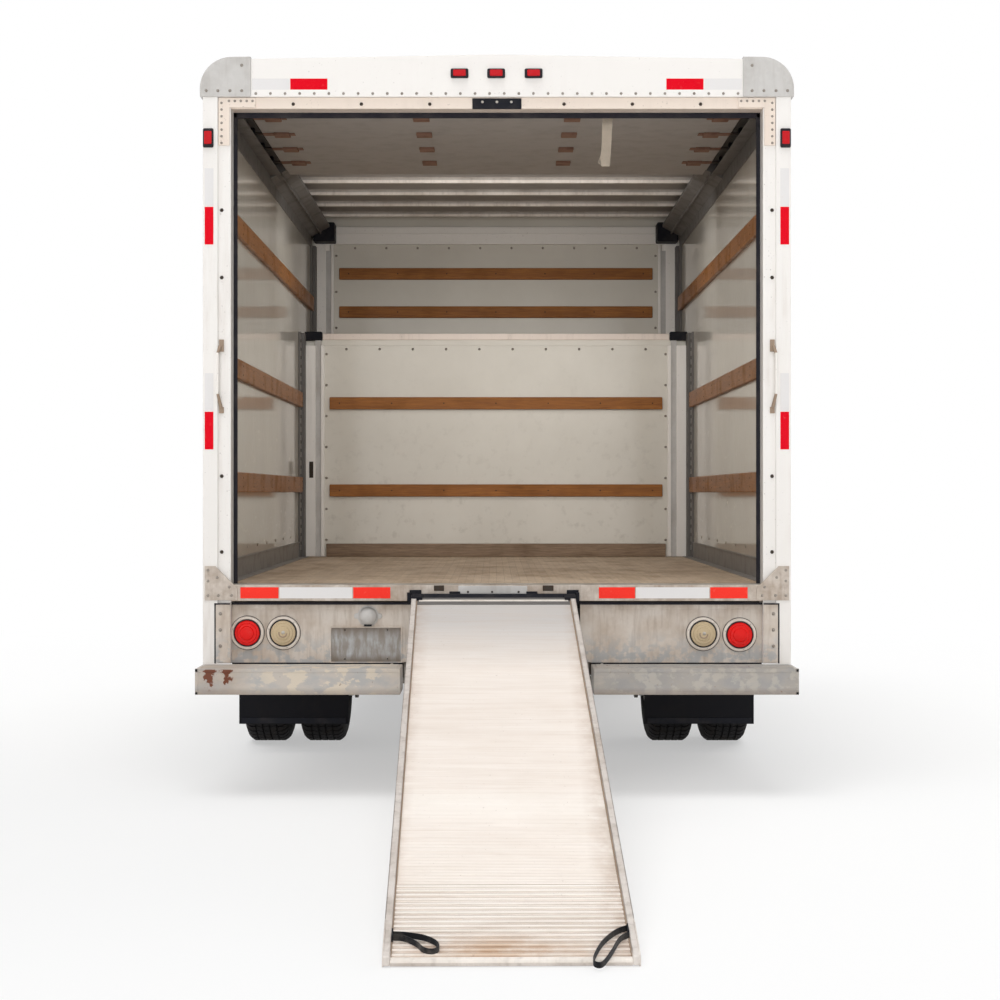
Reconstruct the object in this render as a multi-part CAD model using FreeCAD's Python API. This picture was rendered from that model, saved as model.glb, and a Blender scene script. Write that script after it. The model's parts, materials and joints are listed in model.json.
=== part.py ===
"""Box truck: a hired moving van with a cutaway cab, an attic over the cab and a loading ramp.

Millimetres, +Z up, +Y towards the nose, +X to the truck's right. Every piece is drawn with y measured
forward from the rear frame's face; save() then moves it to the part's origin, which is the middle of
the overall length, on the ground, between the wheels.
"""
import FreeCAD, Part
import math
import os
from FreeCAD import Vector

# ---- driving dimensions: the cargo body ----
body_width = 2440
overall_height = 3055
deck_height = 853
floor_thickness = 32
seam_inset = 75             # floor's clear part starts this far from the walls
seam_width = 3
seam_depth = 2
wall_thickness = 40
wall_foot = 775
load_length = 3780          # rear frame's face to the lower front wall
attic_length = 760          # how far the attic reaches over the cab
attic_deck = 2190
attic_floor_thickness = 70
attic_front_thickness = 60
roof_thickness = 35
rail_drop = 95              # how far the top rails reach down the walls
bow_depth = 30
bow_width = 45
bow_pitch = 460
first_bow = 630
sill_places = (300, 750, 1180, 1590, 1850, 2300, 2750, 3200, 3650)
sill_width = 50

# ---- driving dimensions: the rear frame ----
frame_depth = 120
opening_width = 2210
header_foot = 2878
door_header_drop = 45
post_foot = 526
post_face = 62              # width of each post's outer face, behind which the jamb steps in
jamb_step = 12
sill_depth = 66
cap_length = 200
cap_skin = 12
corner_radius = 120
track_top = 2930
track_depth = 60
track_web = 3
tail_panel_top = 778
tail_panel_setback = 45
tail_panel_plate = 15
ramp_gap_half = 390         # half the gap for the ramp in the tail panel and bumper
bumper_depth = 220
bumper_foot = 420
bumper_height = 105
plate_recess = (290, 142)   # blank number plate seat
plate_rim = 4
plate_holes = (178, 121)
plate_hole_radius = 3.5

# ---- driving dimensions: running gear ----
tyre_radius = 372
tyre_width = 225
rim_radius = 206
rear_axle_y = 1735
wheelbase = 3505
front_track = 1740
dual_centre = 988           # middle of each rear pair, out from the centre line
dual_spacing = 272
kingpin_x = 770
frame_rail_outer = 432
frame_rail_width = 60
frame_rail_wall = 8
rear_rail = (560, 740)      # bottom and top of the rails below the body
front_rail = (480, 640)     # and below the cab
rail_joggle = (3620, 3900)
rail_ends = (60, 5850)
cross_members = (420, 1250, 2250, 3050)
cross_member_height = 70

# ---- driving dimensions: the engine ----
engine_half = 250
engine_rear = 4640
engine_front = 5480
engine_foot = 500
engine_top = 1010
gearbox_rear = 4066
gearbox_foot = 508
pinion_end = 1995
pipe_radius = 30
pipe_z = 430

# ---- driving dimensions: the cab ----
cab_back = 3860
nose = 6120
cab_width = 2000
cab_height = 2085
roof_clear = 8              # the roof's edge arcs would meet this much above its skin
cab_wall = 50
cab_foot = 480
cab_floor_top = 710
cab_floor_thickness = 30
firewall_y = 4960
cowl_y = 5130
cowl_z = 1290
door_gap = 12
door_front = 4790
door_rear = 3975
door_sill = 560
belt = 1310
glass = 6
wheel_arch_radius = 452
liner_thickness = 5
liner_foot = 520
door_hinges = (680, 1080)   # foot of each door hinge
hinge_length = 70
hood_rear = 5165
hood_half = 740
hood_front = 5870
hood_nose_gap = 22          # its front edge swings forward as it lifts

# ---- driving dimensions: the ramp ----
ramp_length = 3200
ramp_width = 675
ramp_depth = 75
ramp_deck_plate = 8
ramp_foot_thickness = 12
ramp_hinge_y = -30
ramp_hinge_z = 799
ramp_hinge_x = -15          # the ramp hangs a little to the left
ramp_skew = 0.9             # and lies a little askew, in degrees
ramp_pin_radius = 12
ramp_barrel_radius = 20
handle_half = 22            # half the width of each webbing loop
handle_height = 22
handle_thickness = 3

# ---- fits ----
pin_clearance = 0.4
running_gap = 6
seat_gap = 0.3

# ---- worked out ----
half_body = body_width / 2
half_inside = half_body - 10 - wall_thickness
wall_outer = half_inside + wall_thickness
roof_top = overall_height - 20
roof_under = roof_top - roof_thickness
rail_foot = roof_top - rail_drop
half_opening = opening_width / 2
header_drop_foot = header_foot - door_header_drop
floor_under = deck_height - floor_thickness
attic_under = attic_deck - attic_floor_thickness
attic_end = load_length + attic_length
front_axle_y = rear_axle_y + wheelbase
bumper_top = bumper_foot + bumper_height
half_cab = cab_width / 2
hinge_radius = door_gap / 2 - seat_gap
ramp_tilt = math.asin((ramp_hinge_z - ramp_foot_thickness * 0.97) / ramp_length)
ramp_reach = ramp_length * math.cos(ramp_tilt) * math.cos(math.radians(ramp_skew)) - ramp_hinge_y
origin_y = (nose - ramp_reach) / 2


# ---- drawing helpers ----
def block(x, y, z):
    """A box between the two ends given along each axis."""
    corner = Vector(min(x), min(y), min(z))
    return Part.makeBox(abs(x[1] - x[0]), abs(y[1] - y[0]), abs(z[1] - z[0]), corner)


def rod(start, end, radius):
    """A round bar from one point to another."""
    way = Vector(*end) - Vector(*start)
    return Part.makeCylinder(radius, way.Length, Vector(*start), way)


def fused(pieces):
    """One solid from pieces that meet."""
    joined = pieces[0].fuse(list(pieces[1:])) if len(pieces) > 1 else pieces[0]
    return joined.removeSplitter()


def together(pieces):
    """Separate solids kept in one node."""
    return Part.makeCompound(list(pieces))


def mirrored(shape):
    """The same piece on the other side of the truck."""
    return shape.mirror(Vector(0, 0, 0), Vector(1, 0, 0))


def both_sides(shape):
    """A piece and its mirror image, as two solids of one node."""
    return together([shape, mirrored(shape)])


def wire(corners, place):
    """A closed outline through corners (a, b, radius), each rounded by a tangent arc."""
    starts, middles, ends = [], [], []
    count = len(corners)
    for index, (a, b, radius) in enumerate(corners):
        here = Vector(a, b, 0)
        back = Vector(*corners[index - 1][:2], 0) - here
        ahead = Vector(*corners[(index + 1) % count][:2], 0) - here
        back.normalize()
        ahead.normalize()
        half = back.getAngle(ahead) / 2
        reach = radius / math.tan(half)
        inward = back + ahead
        if radius:
            inward.normalize()
        starts.append(here + back * reach)
        middles.append(here + inward * (radius / math.sin(half) - radius))
        ends.append(here + ahead * reach)
    edges = []
    for index in range(count):
        if corners[index][2]:
            arc = [place(point) for point in (starts[index], middles[index], ends[index])]
            edges.append(Part.Arc(*arc).toShape())
        after = starts[(index + 1) % count]
        if (after - ends[index]).Length > 1e-6:
            edges.append(Part.makeLine(place(ends[index]), place(after)))
    return Part.Wire(edges)


def side_view(point):
    return Vector(0, point.x, point.y)


def rear_view(point):
    return Vector(point.x, 0, point.y)


def plan_view(point):
    return Vector(point.x, point.y, 0)


def sharp(points):
    """Corners with no rounding."""
    return [(a, b, 0) for a, b in points]


def drawn(corners, place, inset):
    outline = wire(corners, place)
    return outline.makeOffset2D(-inset) if inset else outline


def along_x(corners, ends, inset=0):
    """A side-view outline (y, z, radius) extruded between two values of x."""
    face = Part.Face(drawn(corners, side_view, inset))
    face.translate(Vector(ends[0], 0, 0))
    return face.extrude(Vector(ends[1] - ends[0], 0, 0))


def along_y(corners, ends, inset=0):
    """A rear-view outline (x, z, radius) extruded between two values of y."""
    face = Part.Face(drawn(corners, rear_view, inset))
    face.translate(Vector(0, ends[0], 0))
    return face.extrude(Vector(0, ends[1] - ends[0], 0))


def along_z(corners, ends, inset=0):
    """A plan-view outline (x, y, radius) extruded between two values of z."""
    face = Part.Face(drawn(corners, plan_view, inset))
    face.translate(Vector(0, 0, ends[0]))
    return face.extrude(Vector(0, 0, ends[1] - ends[0]))


def turned(points, centre):
    """A profile of (x, radius) turned about an axle along X through the centre."""
    edges = [Vector(x, 0, radius) for x, radius in points]
    face = Part.Face(Part.makePolygon(edges + edges[:1]))
    solid = face.revolve(Vector(0, 0, 0), Vector(1, 0, 0), 360)
    solid.translate(Vector(*centre))
    return solid


def bent_tube(points, radius, bend):
    """A tube through the points, straight between tangent bends."""
    spots = [Vector(*point) for point in points]
    edges = []
    last = spots[0]
    for before, here, after in zip(spots, spots[1:], spots[2:]):
        back = (before - here).normalize()
        ahead = (after - here).normalize()
        half = back.getAngle(ahead) / 2
        reach = bend / math.tan(half)
        inward = (back + ahead).normalize()
        start = here + back * reach
        end = here + ahead * reach
        edges.append(Part.makeLine(last, start))
        edges.append(Part.Arc(start, here + inward * (bend / math.sin(half) - bend), end).toShape())
        last = end
    edges.append(Part.makeLine(last, spots[-1]))
    path = Part.Wire(edges)
    ring = Part.Wire(Part.makeCircle(radius, spots[0], spots[1] - spots[0]))
    return path.makePipeShell([ring], True, False)


def save(node, shape):
    """Write one sub-part, moved to the part's origin."""
    moved = shape.copy()
    moved.translate(Vector(0, -origin_y, 0))
    moved.exportStep("parts/" + node + ".step")


# ---- cargo body ----
def side_wall():
    """Right wall: the whole height of the load space, and the attic's side over the cab."""
    corners = sharp([
        (frame_depth, wall_foot),
        (load_length + wall_thickness, wall_foot),
        (load_length + wall_thickness, attic_under),
        (attic_end, attic_under),
        (attic_end, rail_foot),
        (frame_depth, rail_foot),
    ])
    return along_x(corners, (half_inside, wall_outer))


def front_wall():
    return block((-half_inside, half_inside), (load_length, load_length + wall_thickness),
                 (rear_rail[1] + 20, attic_under))


def attic_floor():
    return block((-half_inside, half_inside), (load_length, attic_end), (attic_under, attic_deck))


def attic_front():
    """The nose of the attic, rounded at its top and sides."""
    ends = (attic_end, attic_end + attic_front_thickness)
    round_over = attic_front_thickness - 5
    side = along_x([(ends[0], attic_under, 0), (ends[1], attic_under, 20), (ends[1], roof_top, round_over),
                    (ends[0], roof_top, 0)], (-wall_outer, wall_outer))
    plan = along_z([(-wall_outer, ends[0], 0), (wall_outer, ends[0], 0), (wall_outer, ends[1], round_over),
                    (-wall_outer, ends[1], round_over)], (attic_under, roof_top))
    return side.common(plan)


def bow_places():
    """The roof bows, one pitch apart, from the rear frame to the attic's nose."""
    return [first_bow + bow_pitch * step for step in range(9) if first_bow + bow_pitch * step < attic_end - 150]


def roof():
    """Roof skin with its bows below."""
    half = half_inside - 40
    pieces = [block((-half, half), (frame_depth, attic_end), (roof_under, roof_top))]
    for place in bow_places():
        pieces.append(block((-half, half), (place, place + bow_width), (roof_under - bow_depth, roof_under)))
    return fused(pieces)


def top_rail():
    """Rounded rail that joins the right wall to the roof, with a slanted cove inside."""
    inner = half_inside - 40
    corners = [
        (inner, roof_under - bow_depth, 0),
        (half_inside, rail_foot, 0),
        (wall_outer, rail_foot, 0),
        (wall_outer, roof_top, 60),
        (inner, roof_top, 0),
    ]
    return along_y(corners, (frame_depth, attic_end))


def cargo_floor():
    """Boards over the whole load space, with a shallow seam round the part that nothing stands on."""
    floor = block((-half_inside, half_inside), (frame_depth, load_length), (floor_under, deck_height))
    clear = seam_edges(0)
    seam = block(*seam_edges(seam_width), (deck_height - seam_depth, deck_height + 1))
    return floor.cut(seam.cut(block(*clear, (deck_height - seam_depth, deck_height + 1))))


def seam_edges(grow):
    """Sides and ends of the floor's clear part."""
    half = half_inside - seam_inset + grow
    return (-half, half), (frame_depth + seam_inset - grow, load_length - seam_inset + grow)


def floor_sills():
    """Cross members between the frame rails and the floor, short where the rear wheels stand."""
    wheel_reach = tyre_radius + 50
    pieces = []
    for place in sill_places:
        near_wheel = abs(place + sill_width / 2 - rear_axle_y) < wheel_reach
        half = 690 if near_wheel else half_inside
        pieces.append(block((-half, half), (place, place + sill_width), (rear_rail[1], floor_under)))
    return pieces


def header_outline(grow):
    """Rear view of the header, slightly domed, with rounded shoulders."""
    half = half_body + grow
    top = overall_height
    shoulder = overall_height - 22 + grow * 0.8
    radius = corner_radius + grow
    return [(-half, header_foot, 0), (half, header_foot, 0), (half, shoulder, radius), (0, top, 900),
            (-half, shoulder, radius)]


def rear_frame():
    """Two posts and the domed header of the rear door."""
    step = half_body - post_face
    foot = (post_foot, header_foot)
    outer = block((step, half_body), (0, frame_depth), foot)
    jamb = block((half_opening, step), (jamb_step, frame_depth), foot)
    header = along_y(header_outline(0), (0, frame_depth))
    return fused([outer, jamb, mirrored(outer), mirrored(jamb), header, rear_sill()])


def corner_cap():
    """Cover over the right shoulder of the rear frame."""
    cover = along_y(header_outline(cap_skin), (-cap_skin / 2, frame_depth))
    inside = along_y(header_outline(0), (0, frame_depth))
    keep = block((half_body - cap_length, half_body + cap_skin), (-cap_skin / 2, frame_depth),
                 (header_foot, overall_height + cap_skin))
    return cover.cut(inside).common(keep)


def door_header():
    """Flat strip below the header, with the lock plate in its middle."""
    strip = block((-half_opening, half_opening), (jamb_step, frame_depth), (header_drop_foot, header_foot))
    plate = block((-102, 102), (jamb_step - 6, jamb_step), (header_drop_foot - 2, header_foot - 4))
    return fused([strip, plate])


def rear_sill():
    return block((-half_opening, half_opening), (0, frame_depth), (deck_height - sill_depth, deck_height))


def tail_panel():
    """Right half of the plate below the sill."""
    y = (tail_panel_setback, tail_panel_setback + tail_panel_plate)
    return block((ramp_gap_half, half_opening), y, (bumper_top + 3, tail_panel_top))


def plate_centre():
    """Middle of the blank number plate seat, on the panel's rear face."""
    return (-545, tail_panel_setback, 603)


def left_tail_panel():
    """Left half of the panel, with the seat of a number plate and its four screw holes."""
    x, y, z = plate_centre()
    width, height = plate_recess
    rim = plate_rim
    pan = block((x - width / 2, x + width / 2), (y - 6, y), (z - height / 2, z + height / 2))
    outer = block((x - width / 2 - rim, x + width / 2 + rim), (y - 12, y), (z - height / 2 - rim, z + height / 2 + rim))
    inner = block((x - width / 2, x + width / 2), (y - 12, y - 6), (z - height / 2, z + height / 2))
    seat = outer.cut(inner).fuse(pan)
    holes = []
    for across in (-1, 1):
        for up in (-1, 1):
            hole = (x + across * plate_holes[0] / 2, y - 20, z + up * plate_holes[1] / 2)
            holes.append(rod(hole, (hole[0], y + tail_panel_plate + 5, hole[2]), plate_hole_radius))
    return fused([seat, mirrored(tail_panel())]).cut(holes)


def tail_lamps():
    """Two round lamps on each side: a body with a stepped lens."""
    lamps = []
    back = tail_panel_setback
    for x, z in ((-1030, 664), (-874, 664), (860, 648), (1012, 644)):
        ring = rod((x, back, z), (x, back - 14, z), 74)
        lens = rod((x, back - 14, z), (x, back - 34, z), 60)
        lamps.append(fused([ring, lens]))
    lamps.append(rod((-537, back, 722), (-537, back - 26, 722), 36))
    return together(lamps)


def rear_bumper():
    """Step bumper in two halves, each carried by an arm on the frame rail."""
    half = block((ramp_gap_half, half_body), (-bumper_depth, 0), (bumper_foot, bumper_top))
    arm_x = (frame_rail_outer, frame_rail_outer + 12)
    panel_front = tail_panel_setback + tail_panel_plate + 2
    arm = along_x(sharp([(0, bumper_foot + 10), (380, bumper_foot + 120), (380, rear_rail[0] + 120),
                         (panel_front, rear_rail[0] + 120), (panel_front, bumper_top), (0, bumper_top)]), arm_x)
    return both_sides(fused([half, arm]))


def roll_up_door():
    """The door stowed overhead: five sections hinged in a row, with a bottom rail at the rear."""
    section = 400
    half = half_opening - 22
    z = (2898, 2922)
    pieces = []
    for index in range(5):
        start = 60 + frame_depth + index * section
        pieces.append(block((-half, half), (start, start + section - 3), z))
    hinges = []
    for index in range(1, 5):
        joint = 60 + frame_depth + index * section
        for x in (-half + 60, -330, 330, half - 60):
            hinges.append(block((x - 40, x + 40), (joint - 45, joint + 42), (z[0] - 4, z[0])))
    return fused(pieces + hinges + rollers(half))


def rollers(half):
    """Rollers at each joint of the door that run in the tracks."""
    z = track_top - track_depth / 2
    radius = track_depth / 2 - track_web - seat_gap
    pieces = []
    for index in range(1, 5):
        y = 60 + frame_depth + index * 400
        for side in (-1, 1):
            pieces.append(rod((side * (half - 30), y, z), (side * (half + 40), y, z), 6))
            pieces.append(rod((side * (half + 36), y, z), (side * (half + 56), y, z), radius))
    return pieces


def door_track():
    """Right track: up beside the post, round a bend and forward below the roof."""
    x = (half_opening, half_inside)
    low = deck_height
    high = track_top
    depth = track_depth
    radius = 260
    front = 2180
    rear = frame_depth
    outer = [(rear, low, 0), (rear + depth, low, 0), (rear + depth, high - depth, radius - depth),
             (front, high - depth, 0), (front, high, 0), (rear, high, radius)]
    solid = along_x(outer, x)
    hollow = along_x(outer, (x[0] - 5, x[1] - track_web), track_web)
    return solid.cut(hollow)


def wall_slats():
    """Wooden rub rails: three along each side wall, two on each front wall."""
    thick = 20
    pieces = []
    for z in (1284, 1790, 2430):
        side = block((half_inside - thick, half_inside), (330, load_length - 90), (z - 45, z + 45))
        pieces += [side, mirrored(side)]
    for z in (1250, 1774):
        pieces.append(block((-1000, 1000), (load_length - thick, load_length), (z - 37, z + 37)))
    for z in (2390, 2634):
        pieces.append(block((-1000, 1000), (attic_end - thick, attic_end), (z - 37, z + 37)))
    return together(pieces)


def corner_posts():
    """Posts and rails that frame the two front walls from inside."""
    lower = block((half_inside - 140, half_inside - 60), (load_length - 22, load_length), (deck_height, attic_under))
    upper = block((half_inside - 110, half_inside), (attic_end - 22, attic_end), (attic_deck, rail_foot - 5))
    rail = block((-half_inside + 110, half_inside - 110), (attic_end - 22, attic_end), (2820, rail_foot - 5))
    return together([lower, mirrored(lower), fused([upper, mirrored(upper), rail])])


def scuff_plates():
    """Steel strips at the foot of the side walls and a kick board across the front wall."""
    side = block((half_inside - 4, half_inside), (330, load_length - 30), (deck_height, deck_height + 92))
    board = block((-half_inside + 150, half_inside - 150), (load_length - 18, load_length),
                  (deck_height, deck_height + 78))
    return together([side, mirrored(side), board])


def pull_strap():
    """Webbing strap that hangs from the stowed door's bottom rail."""
    return block((442, 492), (196, 199), (2625, 2898))


# ---- running gear ----
def frame_rail():
    """Right frame rail, a channel open to the middle, lower below the cab."""
    start, end = rail_ends
    first, second = rail_joggle
    corners = sharp([(start, rear_rail[0]), (first, rear_rail[0]), (second, front_rail[0]), (end, front_rail[0]),
                     (end, front_rail[1]), (second, front_rail[1]), (first, rear_rail[1]), (start, rear_rail[1])])
    outer = frame_rail_outer
    inner = frame_rail_outer - frame_rail_width
    solid = along_x(corners, (inner, outer))
    hollow = along_x(corners, (inner - 1, outer - frame_rail_wall), frame_rail_wall)
    return solid.cut(hollow)


def chassis_frame():
    """Two rails with their brackets, the cross members between them and the sills on top."""
    inner = frame_rail_outer - frame_rail_wall
    engine_mount = block((engine_half, inner), (5020, 5080), (560, 600))
    rail = fused([frame_rail()] + spring_hangers() + spring_tower())
    members = [engine_mount, mirrored(engine_mount)]
    for place in cross_members:
        foot = rear_rail[0] + frame_rail_wall
        members.append(block((-inner, inner), (place, place + 60), (foot, foot + cross_member_height)))
    foot = front_rail[0] + frame_rail_wall
    members.append(block((-inner, inner), (5700, 5760), (foot, foot + cross_member_height)))
    members.append(block((-inner, inner), (4250, 4330), (gearbox_foot - 20, gearbox_foot)))
    return together([rail, mirrored(rail)] + members + floor_sills())


def ramp_bay():
    """Channels under the floor that the ramp slides into, with a stop at their front end."""
    inner = frame_rail_outer - frame_rail_width
    z = (rear_rail[1] - 92, rear_rail[1])
    side = block((inner - 8, inner), (70, 3350), z)
    lip = block((inner - 30, inner - 8), (70, 3350), (z[0], z[0] + 4))
    stop = block((-inner + 8, inner - 8), (3340, 3350), z)
    return fused([side, lip, mirrored(side), mirrored(lip), stop])


def axle_tube(grow=0):
    centre = (0, rear_axle_y, tyre_radius)
    reach = 700
    profile = [(-reach, 0), (-reach, 48 + grow), (-180, 48 + grow), (-90, 150 + grow), (90, 150 + grow),
               (180, 48 + grow), (reach, 48 + grow), (reach, 0)]
    return turned(profile, centre)


def spindle(x_inner, x_outer, centre_y, radius):
    return rod((x_inner, centre_y, tyre_radius), (x_outer, centre_y, tyre_radius), radius)


def rear_axle():
    """Axle housing with its drive casing, brake backing plates and spindles."""
    pieces = [axle_tube()]
    for side in (-1, 1):
        pieces.append(spindle(side * 690, side * (dual_centre + 20), rear_axle_y, 42))
        pieces.append(spindle(side * 690, side * 704, rear_axle_y, 160))
    pieces.append(rod(shaft_point(rear_axle_y + 60), shaft_point(pinion_end), 55))
    return fused(pieces)


def shaft_point(y):
    """Where the straight line from the rear axle to the gearbox is at y."""
    share = (y - rear_axle_y) / (gearbox_rear - rear_axle_y)
    return (0, y, tyre_radius + share * (gearbox_foot + 65 - tyre_radius))


def driveshaft():
    """Tube from the gearbox to the rear axle, with a joint at each end."""
    start = Vector(*shaft_point(pinion_end))
    end = Vector(*shaft_point(gearbox_rear - 40))
    way = (end - start).normalize()
    tube = rod(start, end, 38)
    joints = [rod(start, start + way * 90, 52), rod(end - way * 90, end, 52)]
    return fused([tube] + joints)


def leaf_spring():
    """Right spring pack, clamped on the axle and hung from the rail at both ends."""
    x = (frame_rail_outer + 40, frame_rail_outer + 115)
    seat = tyre_radius + 62
    rise = 120
    half = 640
    pieces = []
    for thick, share in ((16, 1.0), (14, 0.8), (14, 0.58), (14, 0.36)):
        level = seat + sum(t for t, s in ((16, 1.0), (14, 0.8), (14, 0.58), (14, 0.36)) if s < share)
        reach = half * share
        lift = rise * share * share
        low = Part.Arc(Vector(0, -reach, lift), Vector(0, 0, 0), Vector(0, reach, lift)).toShape()
        high = Part.Arc(Vector(0, reach, lift + thick), Vector(0, 0, thick), Vector(0, -reach, lift + thick)).toShape()
        ends = [Part.makeLine(Vector(0, reach, lift), Vector(0, reach, lift + thick)),
                Part.makeLine(Vector(0, -reach, lift + thick), Vector(0, -reach, lift))]
        leaf = Part.Face(Part.Wire([low, ends[0], high, ends[1]])).extrude(Vector(x[1] - x[0], 0, 0))
        leaf.translate(Vector(x[0], rear_axle_y, level))
        pieces.append(leaf)
    saddle = block((x[0] - 6, x[1] + 6), (rear_axle_y - 60, rear_axle_y + 60), (tyre_radius, seat + 60))
    saddle = saddle.cut(axle_tube(seat_gap))
    return fused(pieces + [saddle])


def spring_hangers():
    """Brackets on the right rail that hold the ends of the spring."""
    x = (frame_rail_outer, frame_rail_outer + 120)
    top = tyre_radius + 62 + 42 + 120 + 16
    pieces = []
    for end in (-1, 1):
        middle = rear_axle_y + end * 625
        pieces.append(block(x, (middle - 40, middle + 40), (top, top + 46)))
    return pieces


def tyre(centre_x, centre_y, face):
    """Tyre with rounded shoulders; face is +1 or -1 for its outboard side."""
    half = tyre_width / 2
    bead = rim_radius + seat_gap
    profile = [(-half + 20, bead), (-half + 20, bead + 16), (-half, rim_radius + 50), (-half, tyre_radius - 58),
               (-half + 14, tyre_radius - 20), (-half + 40, tyre_radius), (half - 40, tyre_radius),
               (half - 14, tyre_radius - 20), (half, tyre_radius - 58), (half, rim_radius + 50),
               (half - 20, bead + 16), (half - 20, bead)]
    return turned([(face * x, radius) for x, radius in profile], (centre_x, centre_y, tyre_radius))


def wheel(centre_x, centre_y, face, disc, bore):
    """Steel wheel: barrel, and a disc whose place is given out from the barrel's middle."""
    half = tyre_width / 2 - 14
    barrel = [(-half, rim_radius + 12), (-half, rim_radius), (half, rim_radius), (half, rim_radius + 12),
              (half + 6, rim_radius + 12), (half + 6, rim_radius - 12),
              (-half - 6, rim_radius - 12), (-half - 6, rim_radius + 12)]
    plate = [(disc - 14, bore), (disc + 14, bore), (disc + 14, 120), (disc - 26, 165), (disc - 26, rim_radius - 12),
             (disc - 40, rim_radius - 12), (disc - 40, 158), (disc - 14, 112)]
    shapes = []
    for profile in (barrel, plate):
        shapes.append(turned([(face * x, radius) for x, radius in profile], (centre_x, centre_y, tyre_radius)))
    return shapes


def rear_wheels(side):
    """The pair of wheels on one end of the rear axle, on one hub, their discs face to face."""
    bore = 42 + pin_clearance
    disc = dual_spacing / 2 - 14
    inner = wheel(side * (dual_centre - dual_spacing / 2), rear_axle_y, side, disc, bore)
    outer = wheel(side * (dual_centre + dual_spacing / 2), rear_axle_y, -side, disc, bore)
    hub = turned([(side * (-260), bore), (side * (-260), 110), (side * 20, 110), (side * 40, 82), (side * 140, 70),
                  (side * 140, 0), (side * 24, 0), (side * 24, bore)],
                 (side * (dual_centre + 0), rear_axle_y, tyre_radius))
    drum = turned([(side * (-275), bore), (side * (-275), 150), (side * (-150), 150), (side * (-150), bore)],
                  (side * dual_centre, rear_axle_y, tyre_radius))
    return fused(inner + outer + [hub, drum])


def rear_tyres(side):
    places = (side * (dual_centre - dual_spacing / 2), side * (dual_centre + dual_spacing / 2))
    return together([tyre(x, rear_axle_y, side) for x in places])


def front_wheel(side):
    """Front wheel on its hub, which turns on the knuckle's spindle."""
    bore = 30 + pin_clearance
    shapes = wheel(side * front_track / 2, front_axle_y, side, 100, bore)
    hub = turned([(side * (-30), bore), (side * (-30), 90), (side * 110, 90), (side * 118, 60), (side * 150, 50),
                  (side * 150, 0), (side * 66, 0), (side * 66, bore)], (side * front_track / 2, front_axle_y, tyre_radius))
    return fused(shapes + [hub])


def knuckle(side):
    """Steering knuckle: kingpin, two lugs, and the spindle that carries the wheel."""
    y = front_axle_y
    z = tyre_radius
    pin = rod((side * kingpin_x, y, z - 78), (side * kingpin_x, y, z + 78), 17)
    lugs = [block((side * (kingpin_x - 30), side * (kingpin_x + 52)), (y - 32, y + 32), (z + low, z + low + 20))
            for low in (-78, 58)]
    upright = block((side * (kingpin_x + 42), side * (kingpin_x + 58)), (y - 55, y + 55), (z - 78, z + 78))
    stub = spindle(side * (kingpin_x + 58), side * (front_track / 2 + 60), y, 30)
    arm = block((side * (kingpin_x - 30), side * (kingpin_x + 10)), (y - 160, y - 30), (z - 78, z - 60))
    return fused([pin, upright, stub, arm] + lugs)


def front_axle():
    """Forged beam below the engine, with a bored eye for each kingpin."""
    y = front_axle_y
    z = tyre_radius
    pieces = [along_y(sharp([(-735, z - 30), (-560, z - 70), (560, z - 70), (735, z - 30), (735, z + 30),
                             (640, z + 10), (-640, z + 10), (-735, z + 30)]), (y - 38, y + 38))]
    for side in (-1, 1):
        pieces.append(rod((side * kingpin_x, y, z - 52), (side * kingpin_x, y, z + 52), 36))
    beam = fused(pieces)
    for side in (-1, 1):
        beam = beam.cut(rod((side * kingpin_x, y, z - 90), (side * kingpin_x, y, z + 90), 17 + pin_clearance))
    return beam


def front_spring():
    """Right coil spring between the beam and its tower on the rail."""
    low = tyre_radius + 10
    spring = rod((545, front_axle_y, low), (545, front_axle_y, 640), 58)
    bore = rod((545, front_axle_y, low - 1), (545, front_axle_y, 641), 42)
    return spring.cut(bore)


def spring_tower():
    """Seat that carries the right coil spring on the outer face of the rail."""
    seat = block((frame_rail_outer, 620), (front_axle_y - 75, front_axle_y + 75), (640, 655))
    web = block((frame_rail_outer, 470), (front_axle_y - 75, front_axle_y + 75), (560, 640))
    return [seat, web]


def engine_block():
    """Engine and gearbox, with the output nose that the driveshaft meets."""
    engine = block((-engine_half, engine_half), (engine_rear, engine_front), (engine_foot, engine_top))
    box = along_y([(-150, gearbox_foot, 40), (150, gearbox_foot, 40), (150, gearbox_foot + 150, 40),
                   (-150, gearbox_foot + 150, 40)], (gearbox_rear, engine_rear))
    nose_out = rod(shaft_point(gearbox_rear - 40), shaft_point(gearbox_rear + 60), 45)
    return fused([engine, box, nose_out])


def fuel_tank():
    """Tank slung from the cross members outside the left rail."""
    top = rear_rail[1]
    return along_y([(-1010, top - 250, 70), (-480, top - 250, 70), (-480, top, 70), (-1010, top, 70)], (2560, 3480))


def exhaust():
    """Pipe from the engine along the right rail, a silencer and a tail that ends ahead of the rear wheels."""
    side = frame_rail_outer + 128
    pipe = bent_tube([(200, 4800, engine_foot), (200, 4800, pipe_z), (200, 4400, pipe_z), (side, 4000, pipe_z),
                      (side, 2290, pipe_z), (1000, 2240, pipe_z), (1160, 2235, pipe_z - 8)], pipe_radius, 60)
    silencer = rod((side, 2700, pipe_z), (side, 3350, pipe_z), 90)
    return fused([pipe, silencer])


def mud_flaps():
    flap = block((700, half_body), (sill_places[2] + 20, sill_places[2] + 28), (140, rear_rail[1]))
    return both_sides(flap)


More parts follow.
